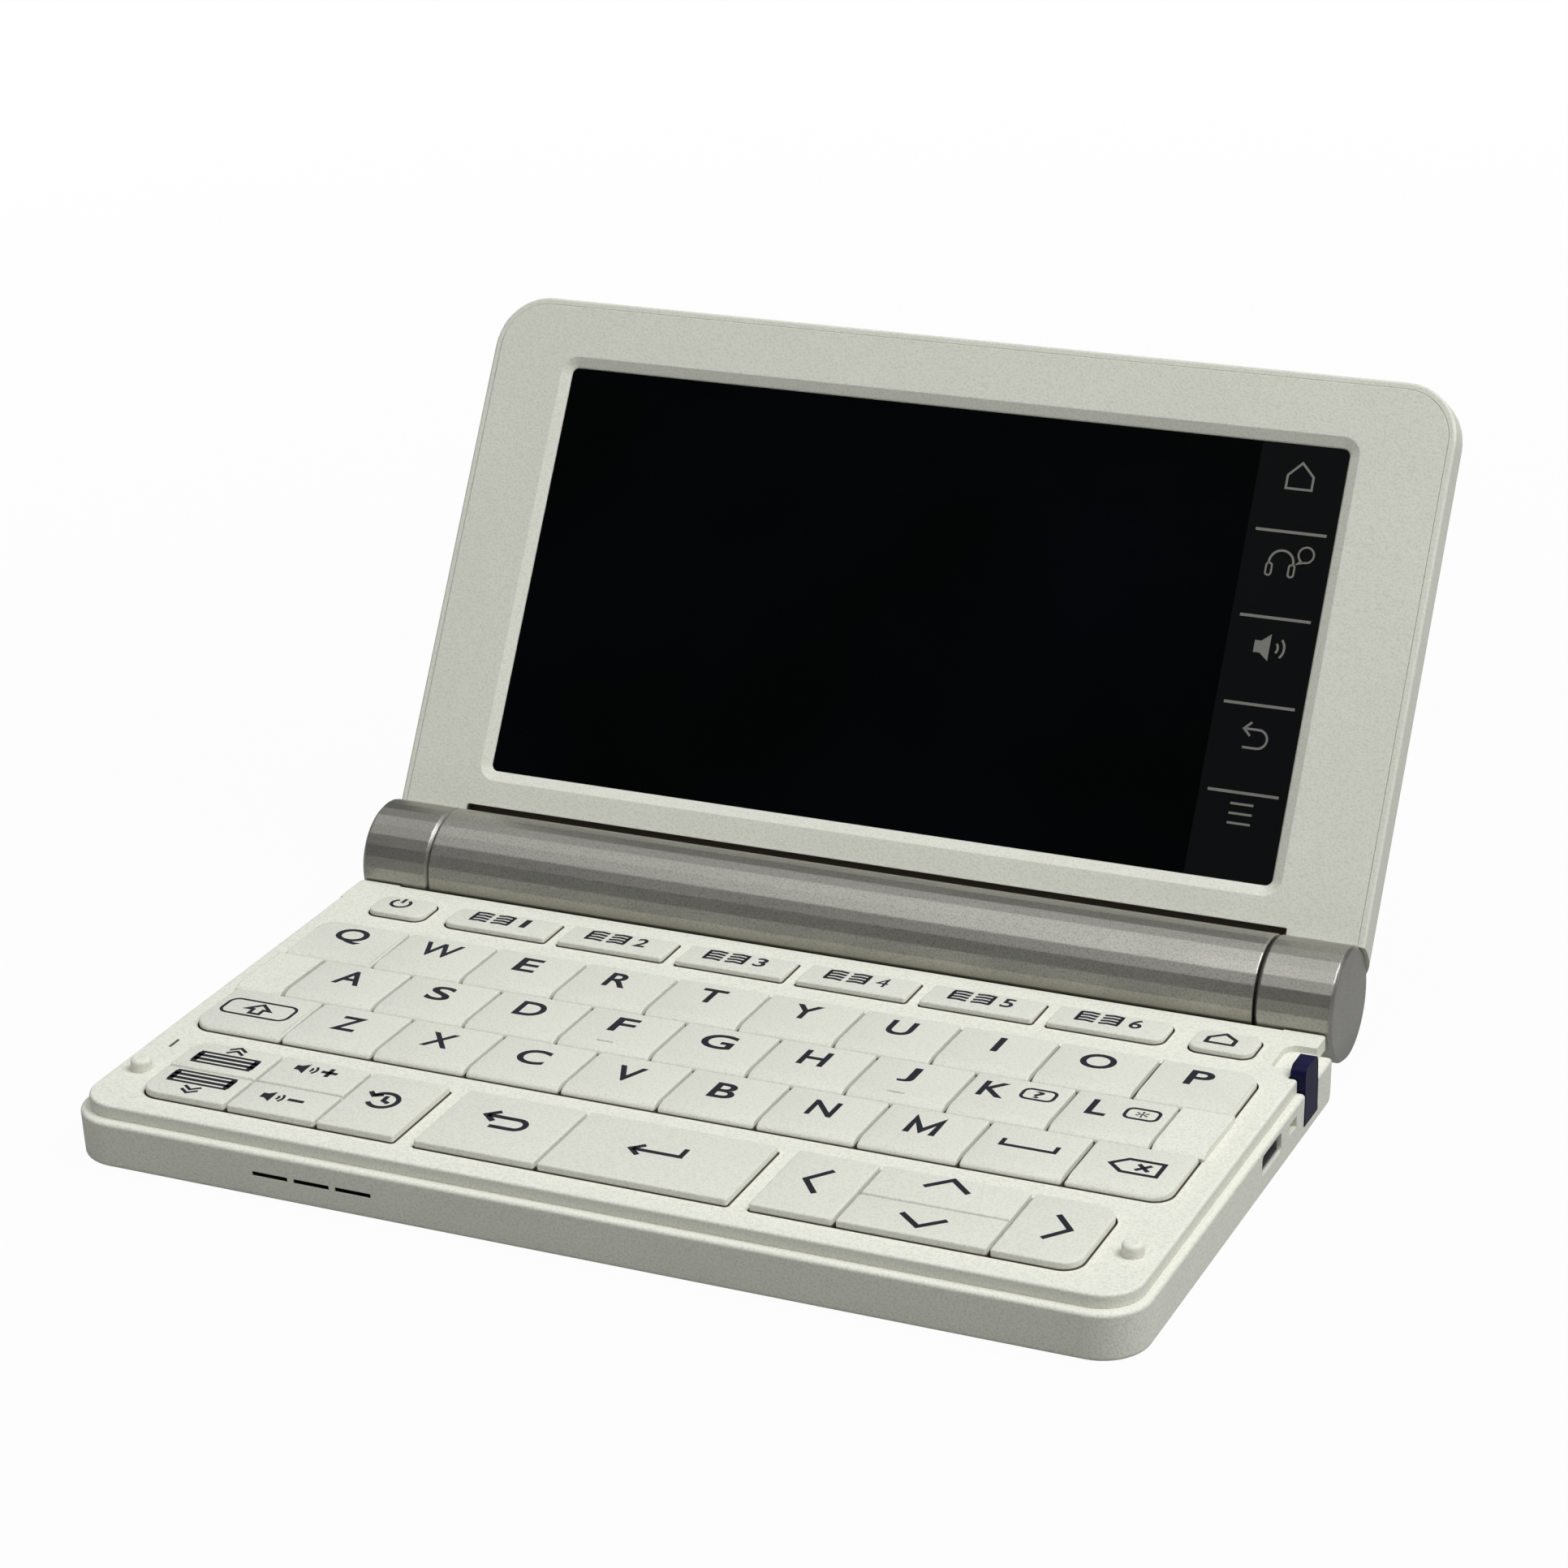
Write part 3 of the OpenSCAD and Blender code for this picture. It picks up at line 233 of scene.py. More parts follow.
silverLook = {
    "colour": srgb(184, 183, 176), "shade": srgb(178, 177, 170), "pit": srgb(142, 141, 134),
    "worn": srgb(205, 204, 198), "grain": 0.24, "depth": 0.016, "rough": (0.33, 0.4), "edge": 0.4,
    # the silver darkens towards the foot of the barrel: painted shade
    "metal": 0.92, "strength": 0.7, "speck": 0.75, "paintedShade": (srgb(128, 126, 116), 8.4, 11.0),
}
capLook = {
    **silverLook, "colour": srgb(171, 170, 163), "shade": srgb(165, 164, 157), "edge": 0.3,
    # the caps darken towards their foot: painted shade
    "paintedShade": (srgb(150, 149, 141), 2, 6),
}
navyLook = {
    "colour": srgb(9, 10, 56), "shade": srgb(8, 9, 50), "pit": srgb(6, 7, 40),
    "worn": srgb(26, 28, 76), "grain": 0.3, "depth": 0.01, "rough": (0.45, 0.55), "edge": 0.2,
    "strength": 0.4, "shine": 0.15,
    "zones": [
        {"colour": srgb(214, 214, 206),  # pale tip
         "boxes": [((-5.2, -1.35, 3.2), (4.52, 2, 1.6))]},
    ],
}
inkLook = {
    "colour": srgb(32, 34, 43), "shade": srgb(37, 39, 48), "pit": srgb(28, 29, 37),
    "worn": srgb(46, 48, 58), "grain": 0.2, "depth": 0.004, "rough": (0.5, 0.6), "edge": 0.03,
    "shine": 0.25,
}
iconLook = {
    "colour": srgb(122, 122, 116), "shade": srgb(116, 116, 110), "pit": srgb(104, 104, 99),
    "worn": srgb(126, 126, 120), "grain": 0.2, "depth": 0.002, "rough": (0.4, 0.5), "edge": 0.02,
}
rubberLook = {
    "colour": srgb(92, 93, 92), "shade": srgb(84, 85, 84), "pit": srgb(70, 70, 70),
    "worn": srgb(112, 112, 110), "grain": 0.25, "depth": 0.02, "rough": (0.7, 0.82), "edge": 0.15,
}
membraneLook = {
    "colour": srgb(112, 110, 104), "shade": srgb(106, 104, 98), "pit": srgb(92, 90, 84),
    "worn": srgb(126, 124, 118), "grain": 0.3, "depth": 0.01, "rough": (0.55, 0.65), "edge": 0.1,
}
steelLook = {
    "colour": srgb(176, 178, 180), "shade": srgb(164, 166, 168), "pit": srgb(140, 142, 145),
    "worn": srgb(205, 206, 208), "grain": 0.12, "depth": 0.004, "rough": (0.22, 0.32), "edge": 0.08,
    "metal": 1.0,
}
boardLook = {
    "colour": srgb(40, 84, 58), "shade": srgb(34, 74, 50), "pit": srgb(28, 60, 42),
    "worn": srgb(90, 120, 84), "grain": 0.5, "depth": 0.01, "rough": (0.35, 0.45), "edge": 0.1,
    "zones": [
        {"colour": srgb(176, 178, 180), "metal": 1.0,  # data socket and cell contacts
         "boxes": [((71, -17.35, 4.5), (3.4, 4, 1.6)), ((0, 17.6, 9.75), (60, 8, 8))]},
        {"colour": srgb(38, 38, 40), "metal": 0.0,  # tongue, earphone socket and loudspeaker
         "boxes": [((71, -17.35, 4.5), (3.2, 2.3, 0.5)), ((-68, -54.05, 3.6), (6, 3.3, 2.4)),
                   ((-37, -61, 2.7), (12, 6, 1.7))]},
    ],
}
cellLook = {
    "colour": srgb(96, 104, 112), "shade": srgb(88, 96, 104), "pit": srgb(74, 80, 88),
    "worn": srgb(150, 152, 154), "grain": 0.4, "depth": 0.006, "rough": (0.3, 0.4), "edge": 0.2,
    "coat": 0.3,
}
panelLook = {
    "colour": srgb(70, 72, 74), "shade": srgb(62, 64, 66), "pit": srgb(50, 52, 54),
    "worn": srgb(96, 98, 100), "grain": 0.3, "depth": 0.01, "rough": (0.45, 0.55), "edge": 0.1,
}

casePlastic = finish("casePlastic", caseLook)
shadedLidPlastic = finish("shadedLidPlastic", lidLook)
keyPlastic = finish("keyPlastic", keyLook)
satinSilver = finish("satinSilver", silverLook)
capSilver = finish("capSilver", capLook)
navyPlastic = finish("navyPlastic", navyLook)
legendInk = finish("legendInk", inkLook)
iconInk = finish("iconInk", iconLook)
footRubber = finish("footRubber", rubberLook)
keyRubber = finish("keyRubber", membraneLook)
hingeSteel = finish("hingeSteel", steelLook)
circuitBoard = finish("circuitBoard", boardLook)
cellSleeve = finish("cellSleeve", cellLook)
panelPlastic = finish("panelPlastic", panelLook)

glassLook = {
    "colour": srgb(1, 2, 2), "tint": srgb(2, 5, 9), "strip": srgb(16, 17, 18),
    "stripX": 46.6, "stripEdge": 0.1, "rough": 0.09, "smudge": 0.08, "shine": 0.12,
    "cloudNoise": (38, 2.0, 0.5), "clouds": ((0.4, 0), (0.75, 1)),
    "smearNoise": (6, 4.0, 0.6), "smears": ((0.4, 0), (0.8, 1)),
    "wave": 2.5, "strength": 0.04, "depth": 0.01,
}


def glassFinish(look):
    # dark glass with a paler strip at its right, smears and a faint wave
    material, place = newMaterial("screenGlass")
    across = place.node("ShaderNodeSeparateXYZ", {}, {0: place}, "X")
    blur = look["stripEdge"] * mm
    strip = place.maths("MULTIPLY", across - look["stripX"] * mm, 1 / blur, clamp=True)
    cloud = place.noise(*look["cloudNoise"]).steps(*look["clouds"])
    smear = place.noise(*look["smearNoise"]).steps(*look["smears"])
    colour = strip.between(cloud.between(look["colour"], look["tint"]), look["strip"])
    bump = place.node("ShaderNodeBump", {}, {
        "Strength": look["strength"], "Distance": look["depth"] * mm,
        "Height": place.noise(look["wave"])})
    shader = place.node("ShaderNodeBsdfPrincipled", {}, {
        "Base Color": colour, "Roughness": look["rough"] + look["smudge"] * smear, "Normal": bump,
        "Specular IOR Level": look["shine"]})
    setSurface(place, shader)
    return material


screenGlass = glassFinish(glassLook)
print("materials made")


# CAD pieces that keep their shape

dressed = {
    "bottom_case": casePlastic, "keyboard_deck": casePlastic, "battery_cover": casePlastic,
    "lid_cover": shadedLidPlastic, "lid_bezel": shadedLidPlastic, "hinge_barrel": satinSilver,
    "hinge_end_caps": capSilver, "hinge_shafts": hingeSteel, "batteries": cellSleeve,
    "main_board": circuitBoard, "key_sheet": keyRubber, "rubber_feet": footRubber,
    "stylus": navyPlastic, "display_glass": screenGlass, "lcd_module": panelPlastic,
}
for name, material in dressed.items():
    nodes[name].data.materials.clear()
    nodes[name].data.materials.append(material)
print("CAD pieces dressed")


# mesh tools

near = 0.0005  # vertices closer than this become one
leastMitre = 0.35  # keeps the corner of a line from reaching far out


def makePiece(name, mesh, material, body, sharp):
    # turns a finished bmesh into an object that rides on a body
    bmesh.ops.recalc_face_normals(mesh, faces=mesh.faces)
    for face in mesh.faces:
        face.smooth = True
    for edge in mesh.edges:
        edge.smooth = edge.calc_face_angle(0) < math.radians(sharp)
    data = bpy.data.meshes.new(name)
    mesh.to_mesh(data)
    mesh.free()
    data.materials.append(material)
    piece = bpy.data.objects.new(name, data)
    bpy.context.scene.collection.objects.link(piece)
    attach(piece, body)
    return piece


def join(mesh, made, name):
    # adds a bmesh to another, and frees it
    data = bpy.data.meshes.new(name)
    made.to_mesh(data)
    made.free()
    mesh.from_mesh(data)
    bpy.data.meshes.remove(data)


def slab(mesh, points, low=-1, high=1):
    # solid slab on a flat outline
    lower = [mesh.verts.new((x, y, low)) for x, y in points]
    upper = [mesh.verts.new((x, y, high)) for x, y in points]
    mesh.faces.new(lower[::-1])
    mesh.faces.new(upper)
    for i in range(len(points)):
        j = (i + 1) % len(points)
        mesh.faces.new((lower[i], lower[j], upper[j], upper[i]))


def line(mesh, points, width, closed=False):
    # solid flat line of one width along a path, with mitred corners
    points = [Vector(p) for p in points]
    count = len(points)
    left, right = [], []
    for i, point in enumerate(points):
        before = point - points[i - 1] if closed or i > 0 else None
        after = points[(i + 1) % count] - point if closed or i < count - 1 else None
        before = (before or after).normalized()
        after = (after or before).normalized()
        side = Vector((-before.y - after.y, before.x + after.x)).normalized()
        reach = width / 2 / max(leastMitre, side.dot(Vector((-before.y, before.x))))
        left.append(point + side * reach)
        right.append(point - side * reach)
    if not closed:
        slab(mesh, left + right[::-1])
        return
    lowLeft, lowRight, highLeft, highRight = (
        [mesh.verts.new((p.x, p.y, z)) for p in ring] for z in (-1, 1) for ring in (left, right))
    for i in range(count):
        j = (i + 1) % count
        mesh.faces.new((lowLeft[i], lowRight[i], lowRight[j], lowLeft[j]))
        mesh.faces.new((highLeft[i], highLeft[j], highRight[j], highRight[i]))
        mesh.faces.new((lowLeft[i], lowLeft[j], highLeft[j], highLeft[i]))
        mesh.faces.new((lowRight[i], highRight[i], highRight[j], lowRight[j]))


def arc(x, y, radius, start, end, steps=14):
    # points along an arc about (x, y), between two angles in degrees
    angles = [math.radians(start + (end - start) * i / steps) for i in range(steps + 1)]
    return [(x + radius * math.cos(a), y + radius * math.sin(a)) for a in angles]


def ringPoints(x, y, width, height, radius, steps=5):
    # outline of a rounded box about a middle
    points = []
    for side, (sx, sy) in enumerate([(1, 1), (-1, 1), (-1, -1), (1, -1)]):
        cx, cy = x + sx * (width / 2 - radius), y + sy * (height / 2 - radius)
        points += arc(cx, cy, radius, 90 * side, 90 * side + 90, steps)
    return points


lettering = {
    "extrude": 0.5, "steps": 5, "bold": 0.018,
    "plain": "4*",  # characters whose outline would cross itself if it were bold
}


def glyph(mesh, character, x, y, width, height):
    # one capital, figure or sign of Blender's own font, fitted to a box about (x, y)
    curve = bpy.data.curves.new("glyph", "FONT")
    curve.body = character
    curve.extrude = lettering["extrude"]
    curve.offset = 0 if character in lettering["plain"] else lettering["bold"]
    curve.resolution_u = lettering["steps"]
    shape = bpy.data.objects.new("glyph", curve)
    bpy.context.scene.collection.objects.link(shape)
    flat = shape.to_mesh()
    left, right = (pick(v.co.x for v in flat.vertices) for pick in (min, max))
    foot, top = (pick(v.co.y for v in flat.vertices) for pick in (min, max))
    made = bmesh.new()
    made.from_mesh(flat)
    bmesh.ops.remove_doubles(made, verts=made.verts, dist=near)
    for vert in made.verts:
        across, up = (vert.co.x - left) / (right - left), (vert.co.y - foot) / (top - foot)
        vert.co = (x + (across - 0.5) * width, y + (up - 0.5) * height, 1 if vert.co.z > 0 else -1)
    join(mesh, made, "letter")
    shape.to_mesh_clear()
    bpy.data.objects.remove(shape)
    bpy.data.curves.remove(curve)


# keys

keyShape = {
    "rise": 1.0, "rearFall": 0.2, "frontFall": 0.6, "frontRound": 2.2, "sweep": 65, "frontSteps": 8,
    "bookFront": 0.8, "bookRear": 0.5, "fillet": 0.26, "filletSteps": 4, "cornerSteps": 5,
    "corner": 0.35, "bookCorner": 1.6, "blockCorner": 2.6, "leastCorner": 0.02, "sharp": 28,
    "grooveWidth": 0.42, "grooveDepth": 0.5,
    # one side of a rocker's groove: (distance beyond half its width, share of its depth)
    "grooveSide": ((0.28, 0), (0.17, 0.04), (0.07, 0.15), (0, 0.34), (-0.06, 1)),
}
roundCorners = {  # the rounder corners of a key: rear left, rear right, front right, front left
    "key_q": ("blockCorner", 1, 0, 0, 0), "key_p": ("blockCorner", 0, 1, 0, 0),
    "key_delete": ("blockCorner", 0, 0, 1, 0), "key_shift": ("blockCorner", 0, 0, 0, 1),
    "key_heading_rocker": ("blockCorner", 1, 0, 0, 1), "key_right": ("blockCorner", 0, 1, 1, 0),
    "key_dictionary_1": ("bookCorner", 1, 0, 0, 1), "key_dictionary_6": ("bookCorner", 0, 1, 1, 0),
    "key_power": ("bookCorner", 1, 1, 1, 1), "key_home": ("bookCorner", 1, 1, 1, 1),
}
homeBar = {  # bar that the forefingers feel
    "keys": ("key_f", "key_j"), "x": -0.45, "width": 2.6, "depth": 0.5, "corner": 0.2, "sunk": 0.3,
    "rise": 0.15, "shoulder": 0.6, "topWidth": 0.94, "topDepth": 0.6, "topShift": 0.02,
}
flatKeys = ("key_history", "key_back", "key_enter", "key_left", "key_right")
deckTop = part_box("key_enter")[1].z / mm - keyShape["rise"]


def markOf(name):
    return name.removeprefix("key_")


def keyKind(name):
    if "rocker" in name:
        return "rocker"
    if name in flatKeys:
        return "flat"
    return "book" if "dictionary" in name or name in ("key_power", "key_home") else "letter"


def keyLevels(kind, depth):
    # side view of the top of a key: (distance from its front, height above the deck)
    s = keyShape
    if kind == "book":
        return [(0, s["bookFront"]), (depth, s["bookRear"])]
    if kind == "letter":
        sweep = math.radians(s["sweep"])
        levels = []
        for i in range(s["frontSteps"] + 1):
            a = sweep * (1 - i / s["frontSteps"])
            fall = s["frontFall"] * (1 - math.cos(a)) / (1 - math.cos(sweep))
            levels.append((s["frontRound"] * (1 - math.sin(a) / math.sin(sweep)), s["rise"] - fall))
        return levels + [(depth, s["rise"] - s["rearFall"])]
    if kind == "rocker":
        half, deep = s["grooveWidth"] / 2, s["grooveDepth"]
        side = [(half + out, s["rise"] - deep * share) for out, share in s["grooveSide"]]
        levels = [(depth / 2 - y, z) for y, z in side] + [(depth / 2 + y, z) for y, z in side[::-1]]
        return [(0, s["rise"])] + levels + [(depth, s["rise"])]
    return [(0, s["rise"]), (depth, s["rise"])]


def heightAt(levels, y):
    for (y0, z0), (y1, z1) in zip(levels, levels[1:]):
        if y <= y1:
            return z0 + (z1 - z0) * max(0, y - y0) / (y1 - y0)
    return levels[-1][1]


def keyOutline(width, depth, radii, inset, levels):
    # anticlockwise from the front left, with a point on each side at every level
    x, y0, y1 = width / 2 - inset, inset, depth - inset
    rl, rr, fr, fl = (max(keyShape["leastCorner"], r - inset) for r in radii)
    reach = max(radii)
    stops = [y for y, z in levels if reach < y < depth - reach]
    steps = keyShape["cornerSteps"]
    points = arc(-x + fl, y0 + fl, fl, 180, 270, steps) + arc(x - fr, y0 + fr, fr, 270, 360, steps)
    points += [(x, y) for y in stops]
    points += arc(x - rr, y1 - rr, rr, 0, 90, steps) + arc(-x + rl, y1 - rl, rl, 90, 180, steps)
    return points + [(-x, y) for y in stops[::-1]]


def addBar(mesh):
    s, top = homeBar, keyShape["rise"]
    y = keyShape["frontRound"] + s["depth"] / 2
    foot = ringPoints(s["x"], y, s["width"], s["depth"], s["corner"])
    crest = [(x * s["topWidth"] - s["topShift"], y + (v - y) * s["topDepth"]) for x, v in foot]
    made = bmesh.new()
    slab(made, foot, top - s["sunk"], top + s["rise"] * s["shoulder"])
    slab(made, crest, top - s["sunk"], top + s["rise"])
    join(mesh, made, "bar")


def makeKey(name):
    low, high = (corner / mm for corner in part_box(name))
    width, depth = high.x - low.x, high.y - low.y
    levels = keyLevels(keyKind(name), depth)
    corner, *which = roundCorners.get(name, ("corner", 0, 0, 0, 0))
    radii = [keyShape[corner] if w else keyShape["corner"] for w in which]
    mesh = bmesh.new()
    fillet, steps = keyShape["fillet"], keyShape["filletSteps"]
    turns = [math.pi / 2 * i / steps for i in range(steps + 1)]
    insets = [(fillet * (1 - math.cos(a)), fillet * (1 - math.sin(a))) for a in turns]
    rings = []
    for inset, drop in [(0, None)] + insets:
        ring = []
        for x, y in keyOutline(width, depth, radii, inset, levels):
            z = low.z - deckTop if drop is None else heightAt(levels, y) - drop
            ring.append(mesh.verts.new((x, y, z)))
        rings.append(ring)
    for lower, upper in zip(rings, rings[1:]):
        for i in range(len(lower)):
            j = (i + 1) % len(lower)
            mesh.faces.new((lower[i], lower[j], upper[j], upper[i]))
    mesh.faces.new(rings[0][::-1])
    top = [mesh.faces.new(rings[-1])]
    for y, z in levels[1:-1]:  # the top is cut into strips that follow the side view
        parts = top + [e for f in top for e in f.edges] + [v for f in top for v in f.verts]
        cut = bmesh.ops.bisect_plane(mesh, geom=list(set(parts)), dist=near, plane_co=(0, y, 0),
                                     plane_no=(0, 1, 0))
        top = [g for g in cut["geom"] if isinstance(g, bmesh.types.BMFace)]
    for vert in {v for f in top for v in f.verts}:
        vert.co.z = heightAt(levels, vert.co.y)
    if name in homeBar["keys"]:
        addBar(mesh)
    for vert in mesh.verts:
        vert.co = (vert.co + Vector(((low.x + high.x) / 2, low.y, deckTop))) * mm
    piece = makePiece("cap_" + markOf(name), mesh, keyPlastic, name, keyShape["sharp"])
    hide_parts(name)
    return levels, (low.x + high.x) / 2, low.y


keys = {}
for name in sorted(n for n in nodes if n.startswith("key_") and n != "key_sheet"):
    keys[name] = makeKey(name)
print("keys made:", len(keys))


# legends on the keys

keyMiddle = 7.7  # middle of a large key, from its front
legend = {
    "height": 4.35, "stroke": 0.86, "proud": 0.02, "sunk": 0.05, "sharp": 30,
    "middle": {"qwertyuiop": 8.02, "asdfghjkl": 7.82, "zxcvbnm": 7.1},  # from the front of the key
    "shift": {"j": -0.9, "k": -3.0, "l": -2.6}, "usualShift": -0.4,
    "tailGrow": 1.13, "tailDrop": 0.28,  # how much taller and lower Q is with its tail
    "shoulder": 0.3, "valley": 0.9,  # where the slanted strokes of M start and meet
    "widths": {
        "Q": 5.0, "W": 5.85, "E": 3.35, "R": 3.5, "T": 3.7, "Y": 3.9, "U": 3.75, "I": 0.95,
        "O": 4.9, "P": 3.4, "A": 4.15, "S": 3.55, "D": 4.15, "F": 3.25, "G": 4.75, "H": 3.75,
        "J": 2.25, "K": 3.75, "L": 2.75, "Z": 3.65, "X": 4.1, "C": 4.35, "V": 4.0, "B": 3.5,
        "N": 3.7, "M": 4.35,
    },
}


def layLegend(name, mesh):
    # lays flat marks, drawn about the middle of a key's front edge, on the top of that key
    levels, x, y = keys[name]
    for vert in mesh.verts:
        lift = legend["proud"] if vert.co.z > 0 else -legend["sunk"]
        height = deckTop + heightAt(levels, vert.co.y) + lift
        vert.co = Vector((x + vert.co.x, y + vert.co.y, height)) * mm
    makePiece("legend_" + markOf(name), mesh, legendInk, name, legend["sharp"])


def drawLetter(mesh, letter):
    row = next(r for r in legend["middle"] if letter in r)
    x, y = legend["shift"].get(letter, legend["usualShift"]), legend["middle"][row]
    big = letter.upper()
    width, height, stroke = legend["widths"][big], legend["height"], legend["stroke"]
    if big == "Q":
        y, height = y - legend["tailDrop"], height * legend["tailGrow"]
    if big == "M":  # one line, because its bold outline would cross itself
        half, foot, top = (width - stroke) / 2, y - height / 2, y + height / 2
        shoulder, valley = top - legend["shoulder"], foot + legend["valley"]
        line(mesh, [(x - half, foot), (x - half, shoulder), (x, valley), (x + half, shoulder),
                    (x + half, foot)], stroke)
    else:
        glyph(mesh, big, x, y, width, height)


boxed = {  # small boxed signs beside two letters: place, sign and its size
    "box": (4.4, 2.9, 0.9), "line": 0.46,
    "k": (2.9, 8.35, "?", 1.3, 2.0), "l": (3.2, 7.9, "*", 1.7, 1.7),
}


def drawBoxed(mesh, letter):
    x, y, sign, width, height = boxed[letter]
    line(mesh, ringPoints(x, y, *boxed["box"]), boxed["line"], True)
    glyph(mesh, sign, x, y, width, height)


def housePoints(width, height):
    half, top = width / 2, height / 2
    return [(-half, -top), (half, -top), (half, 0), (0, top), (-half, 0)]


strokes = {  # where the mark of a key is, and its lines: (width, closed, points from there)
    "key_shift": ((-0.18, 6.65), [
        (0.437, True, ringPoints(0, 0, 10.3, 4.5, 1.3)),
        (0.53, True, [(0, 1.5), (-1.7, -0.1), (-0.75, -0.1), (-0.75, -1.4), (0.75, -1.4),
                      (0.75, -0.1), (1.7, -0.1)]),
    ]),
    "key_space": ((0, 6.2), [
        (0.62, False, [(-3.6, 1.7), (-3.6, 0), (3.6, 0), (3.6, 1.7)]),
    ]),
    "key_delete": ((0.43, 6.4), [
        (0.6, True, [(-3.4, 0), (-1.5, 1.8), (3.2, 1.8), (3.2, -1.8), (-1.5, -1.8)]),
        (0.58, False, [(0.1, 0.85), (1.8, -0.85)]),
        (0.58, False, [(0.1, -0.85), (1.8, 0.85)]),
    ]),
    "key_history": ((-0.45, 8.5), [
        (0.7, False, arc(0, 0, 2.0, 155, -150, 24)),
        (0.7, False, [(-2.75, 1.75), (-1.85, 0.75), (-0.7, 1.4)]),
        (0.65, False, [(0, 1.25), (0, -0.1), (1.0, -0.6)]),
    ]),
    "key_back": ((-0.1, 8.6), [
        (0.8, False, [(-1.4, -1.5), (1.8, -1.5), *arc(1.8, -0.15, 1.35, -75, 75, 10),
                      (1.8, 1.2), (-2.8, 1.2)]),
        (0.8, False, [(-1.5, 2.55), (-3.05, 1.2), (-1.5, -0.15)]),
    ]),
    "key_enter": ((-0.3, 8.6), [
        (0.72, False, [(3.3, 1.7), (3.3, -0.5), (-3.3, -0.5)]),
        (0.72, False, [(-2.1, 0.85), (-3.6, -0.5), (-2.1, -1.85)]),
    ]),
    "key_left": ((0, keyMiddle), [
        (0.78, False, [(0.85, 3.95), (-1.65, 0.8), (0.85, -2.3)]),
    ]),
    "key_right": ((0, keyMiddle), [
        (0.78, False, [(-0.95, 3.4), (1.7, 0.3), (-0.85, -2.8)]),
    ]),
    "key_up_down_rocker": ((0, keyMiddle), [
        (0.78, False, [(-3.2, 4.3), (-0.3, 7.05), (2.7, 4.3)]),
        (0.78, False, [(-3.05, -2.95), (0.05, -5.55), (2.95, -2.95)]),
    ]),
    "key_power": ((-0.81, 3.9), [
        (0.5, False, arc(0, 0, 1.4, 125, 415, 22)),
        (0.5, False, [(0, 0.2), (0, 1.75)]),
    ]),
    "key_home": ((-0.6, 3.8), [
        (0.58, True, housePoints(3.7, 3.2)),
    ]),
}


def drawStrokes(mesh, middle, lines):
    x, y = middle
    for width, closed, points in lines:
        line(mesh, [(x + across, y + up) for across, up in points], width, closed)


heading = {  # a dark page with light lines, and two chevrons beyond it, on both halves of the key
    "halves": ((1, 3.4, 6.35), (-1, -2.45, -5.45)),  # way, then place of the page and the chevrons
    "rows": ((-1.65, -1.2), (-0.82, -0.2), (0.2, 0.82), (1.2, 1.65)), "left": -4.4, "right": 4.7,
    "edges": (-4.1, 4.4), "edgeReach": 1.21, "edgeWidth": 0.9,
    "x": 0.2, "gaps": (0, 0.95), "wing": 1.25, "foot": -0.8, "tip": 0.1, "width": 0.45,
}


def drawHeading(mesh):
    s, x = heading, heading["x"]
    for way, page, chevrons in s["halves"]:
        lines = []
        for low, high in s["rows"]:
            row = page + (low + high) / 2
            lines.append((high - low, False, [(s["left"], row), (s["right"], row)]))
        for edge in s["edges"]:
            ends = [(edge, page - s["edgeReach"]), (edge, page + s["edgeReach"])]
            lines.append((s["edgeWidth"], False, ends))
        for gap in s["gaps"]:
            foot, tip = (chevrons + way * (gap + s[end]) for end in ("foot", "tip"))
            chevron = [(x - s["wing"], foot), (x, tip), (x + s["wing"], foot)]
            lines.append((s["width"], False, chevron))
        drawStrokes(mesh, (0, keyMiddle), lines)


speaker = {  # times the size of the mark, but for its back
    "back": 0.15, "box": (0.6, 0.65), "horn": (1.6, 1.45),
    "soundX": 1.75, "sounds": (0.75, 1.45), "spread": 42, "steps": 8,
}


def drawSpeaker(mesh, x, y, size, width):
    s = speaker
    boxX, boxY = (part * size for part in s["box"])
    hornX, hornY = (part * size for part in s["horn"])
    slab(mesh, [(x - s["back"], y - boxY), (x + boxX, y - boxY), (x + hornX, y - hornY),
                (x + hornX, y + hornY), (x + boxX, y + boxY), (x - s["back"], y + boxY)])
    for radius in s["sounds"]:
        curve = arc(x + s["soundX"] * size, y, radius * size, -s["spread"], s["spread"], s["steps"])
        line(mesh, curve, width)


volume = {  # a loudspeaker with plus or minus on each half of the key
    "halves": (("plus", 5.2), ("minus", -3.45)), "x": -3.45, "size": 0.95, "sound": 0.38,
    "left": 0.35, "right": 2.7, "middle": 1.52, "reach": 1.18, "width": 0.65,
}


def drawVolume(mesh):
    s = volume
    for sign, place in s["halves"]:
        y = keyMiddle + place
        drawSpeaker(mesh, s["x"], y, s["size"], s["sound"])
        line(mesh, [(s["left"], y), (s["right"], y)], s["width"])
        if sign == "plus":
            line(mesh, [(s["middle"], y - s["reach"]), (s["middle"], y + s["reach"])], s["width"])


book = {  # an open book with lines on both pages, and the number of the dictionary
    "x": -1.9, "y": 3.9, "rows": (-1.35, -0.45, 0.45, 1.35), "rowWidth": 0.55,
    "row": ((0.35, -0.12), (1.6, 0.12), (3.1, -0.08)),
    "side": ((2.9, -1.3), (2.9, 1.3)), "sideWidth": 0.5,
    "numberX": 5.2, "numberHeight": 2.9, "oneWidth": 0.95, "numberWidth": 1.75,
}


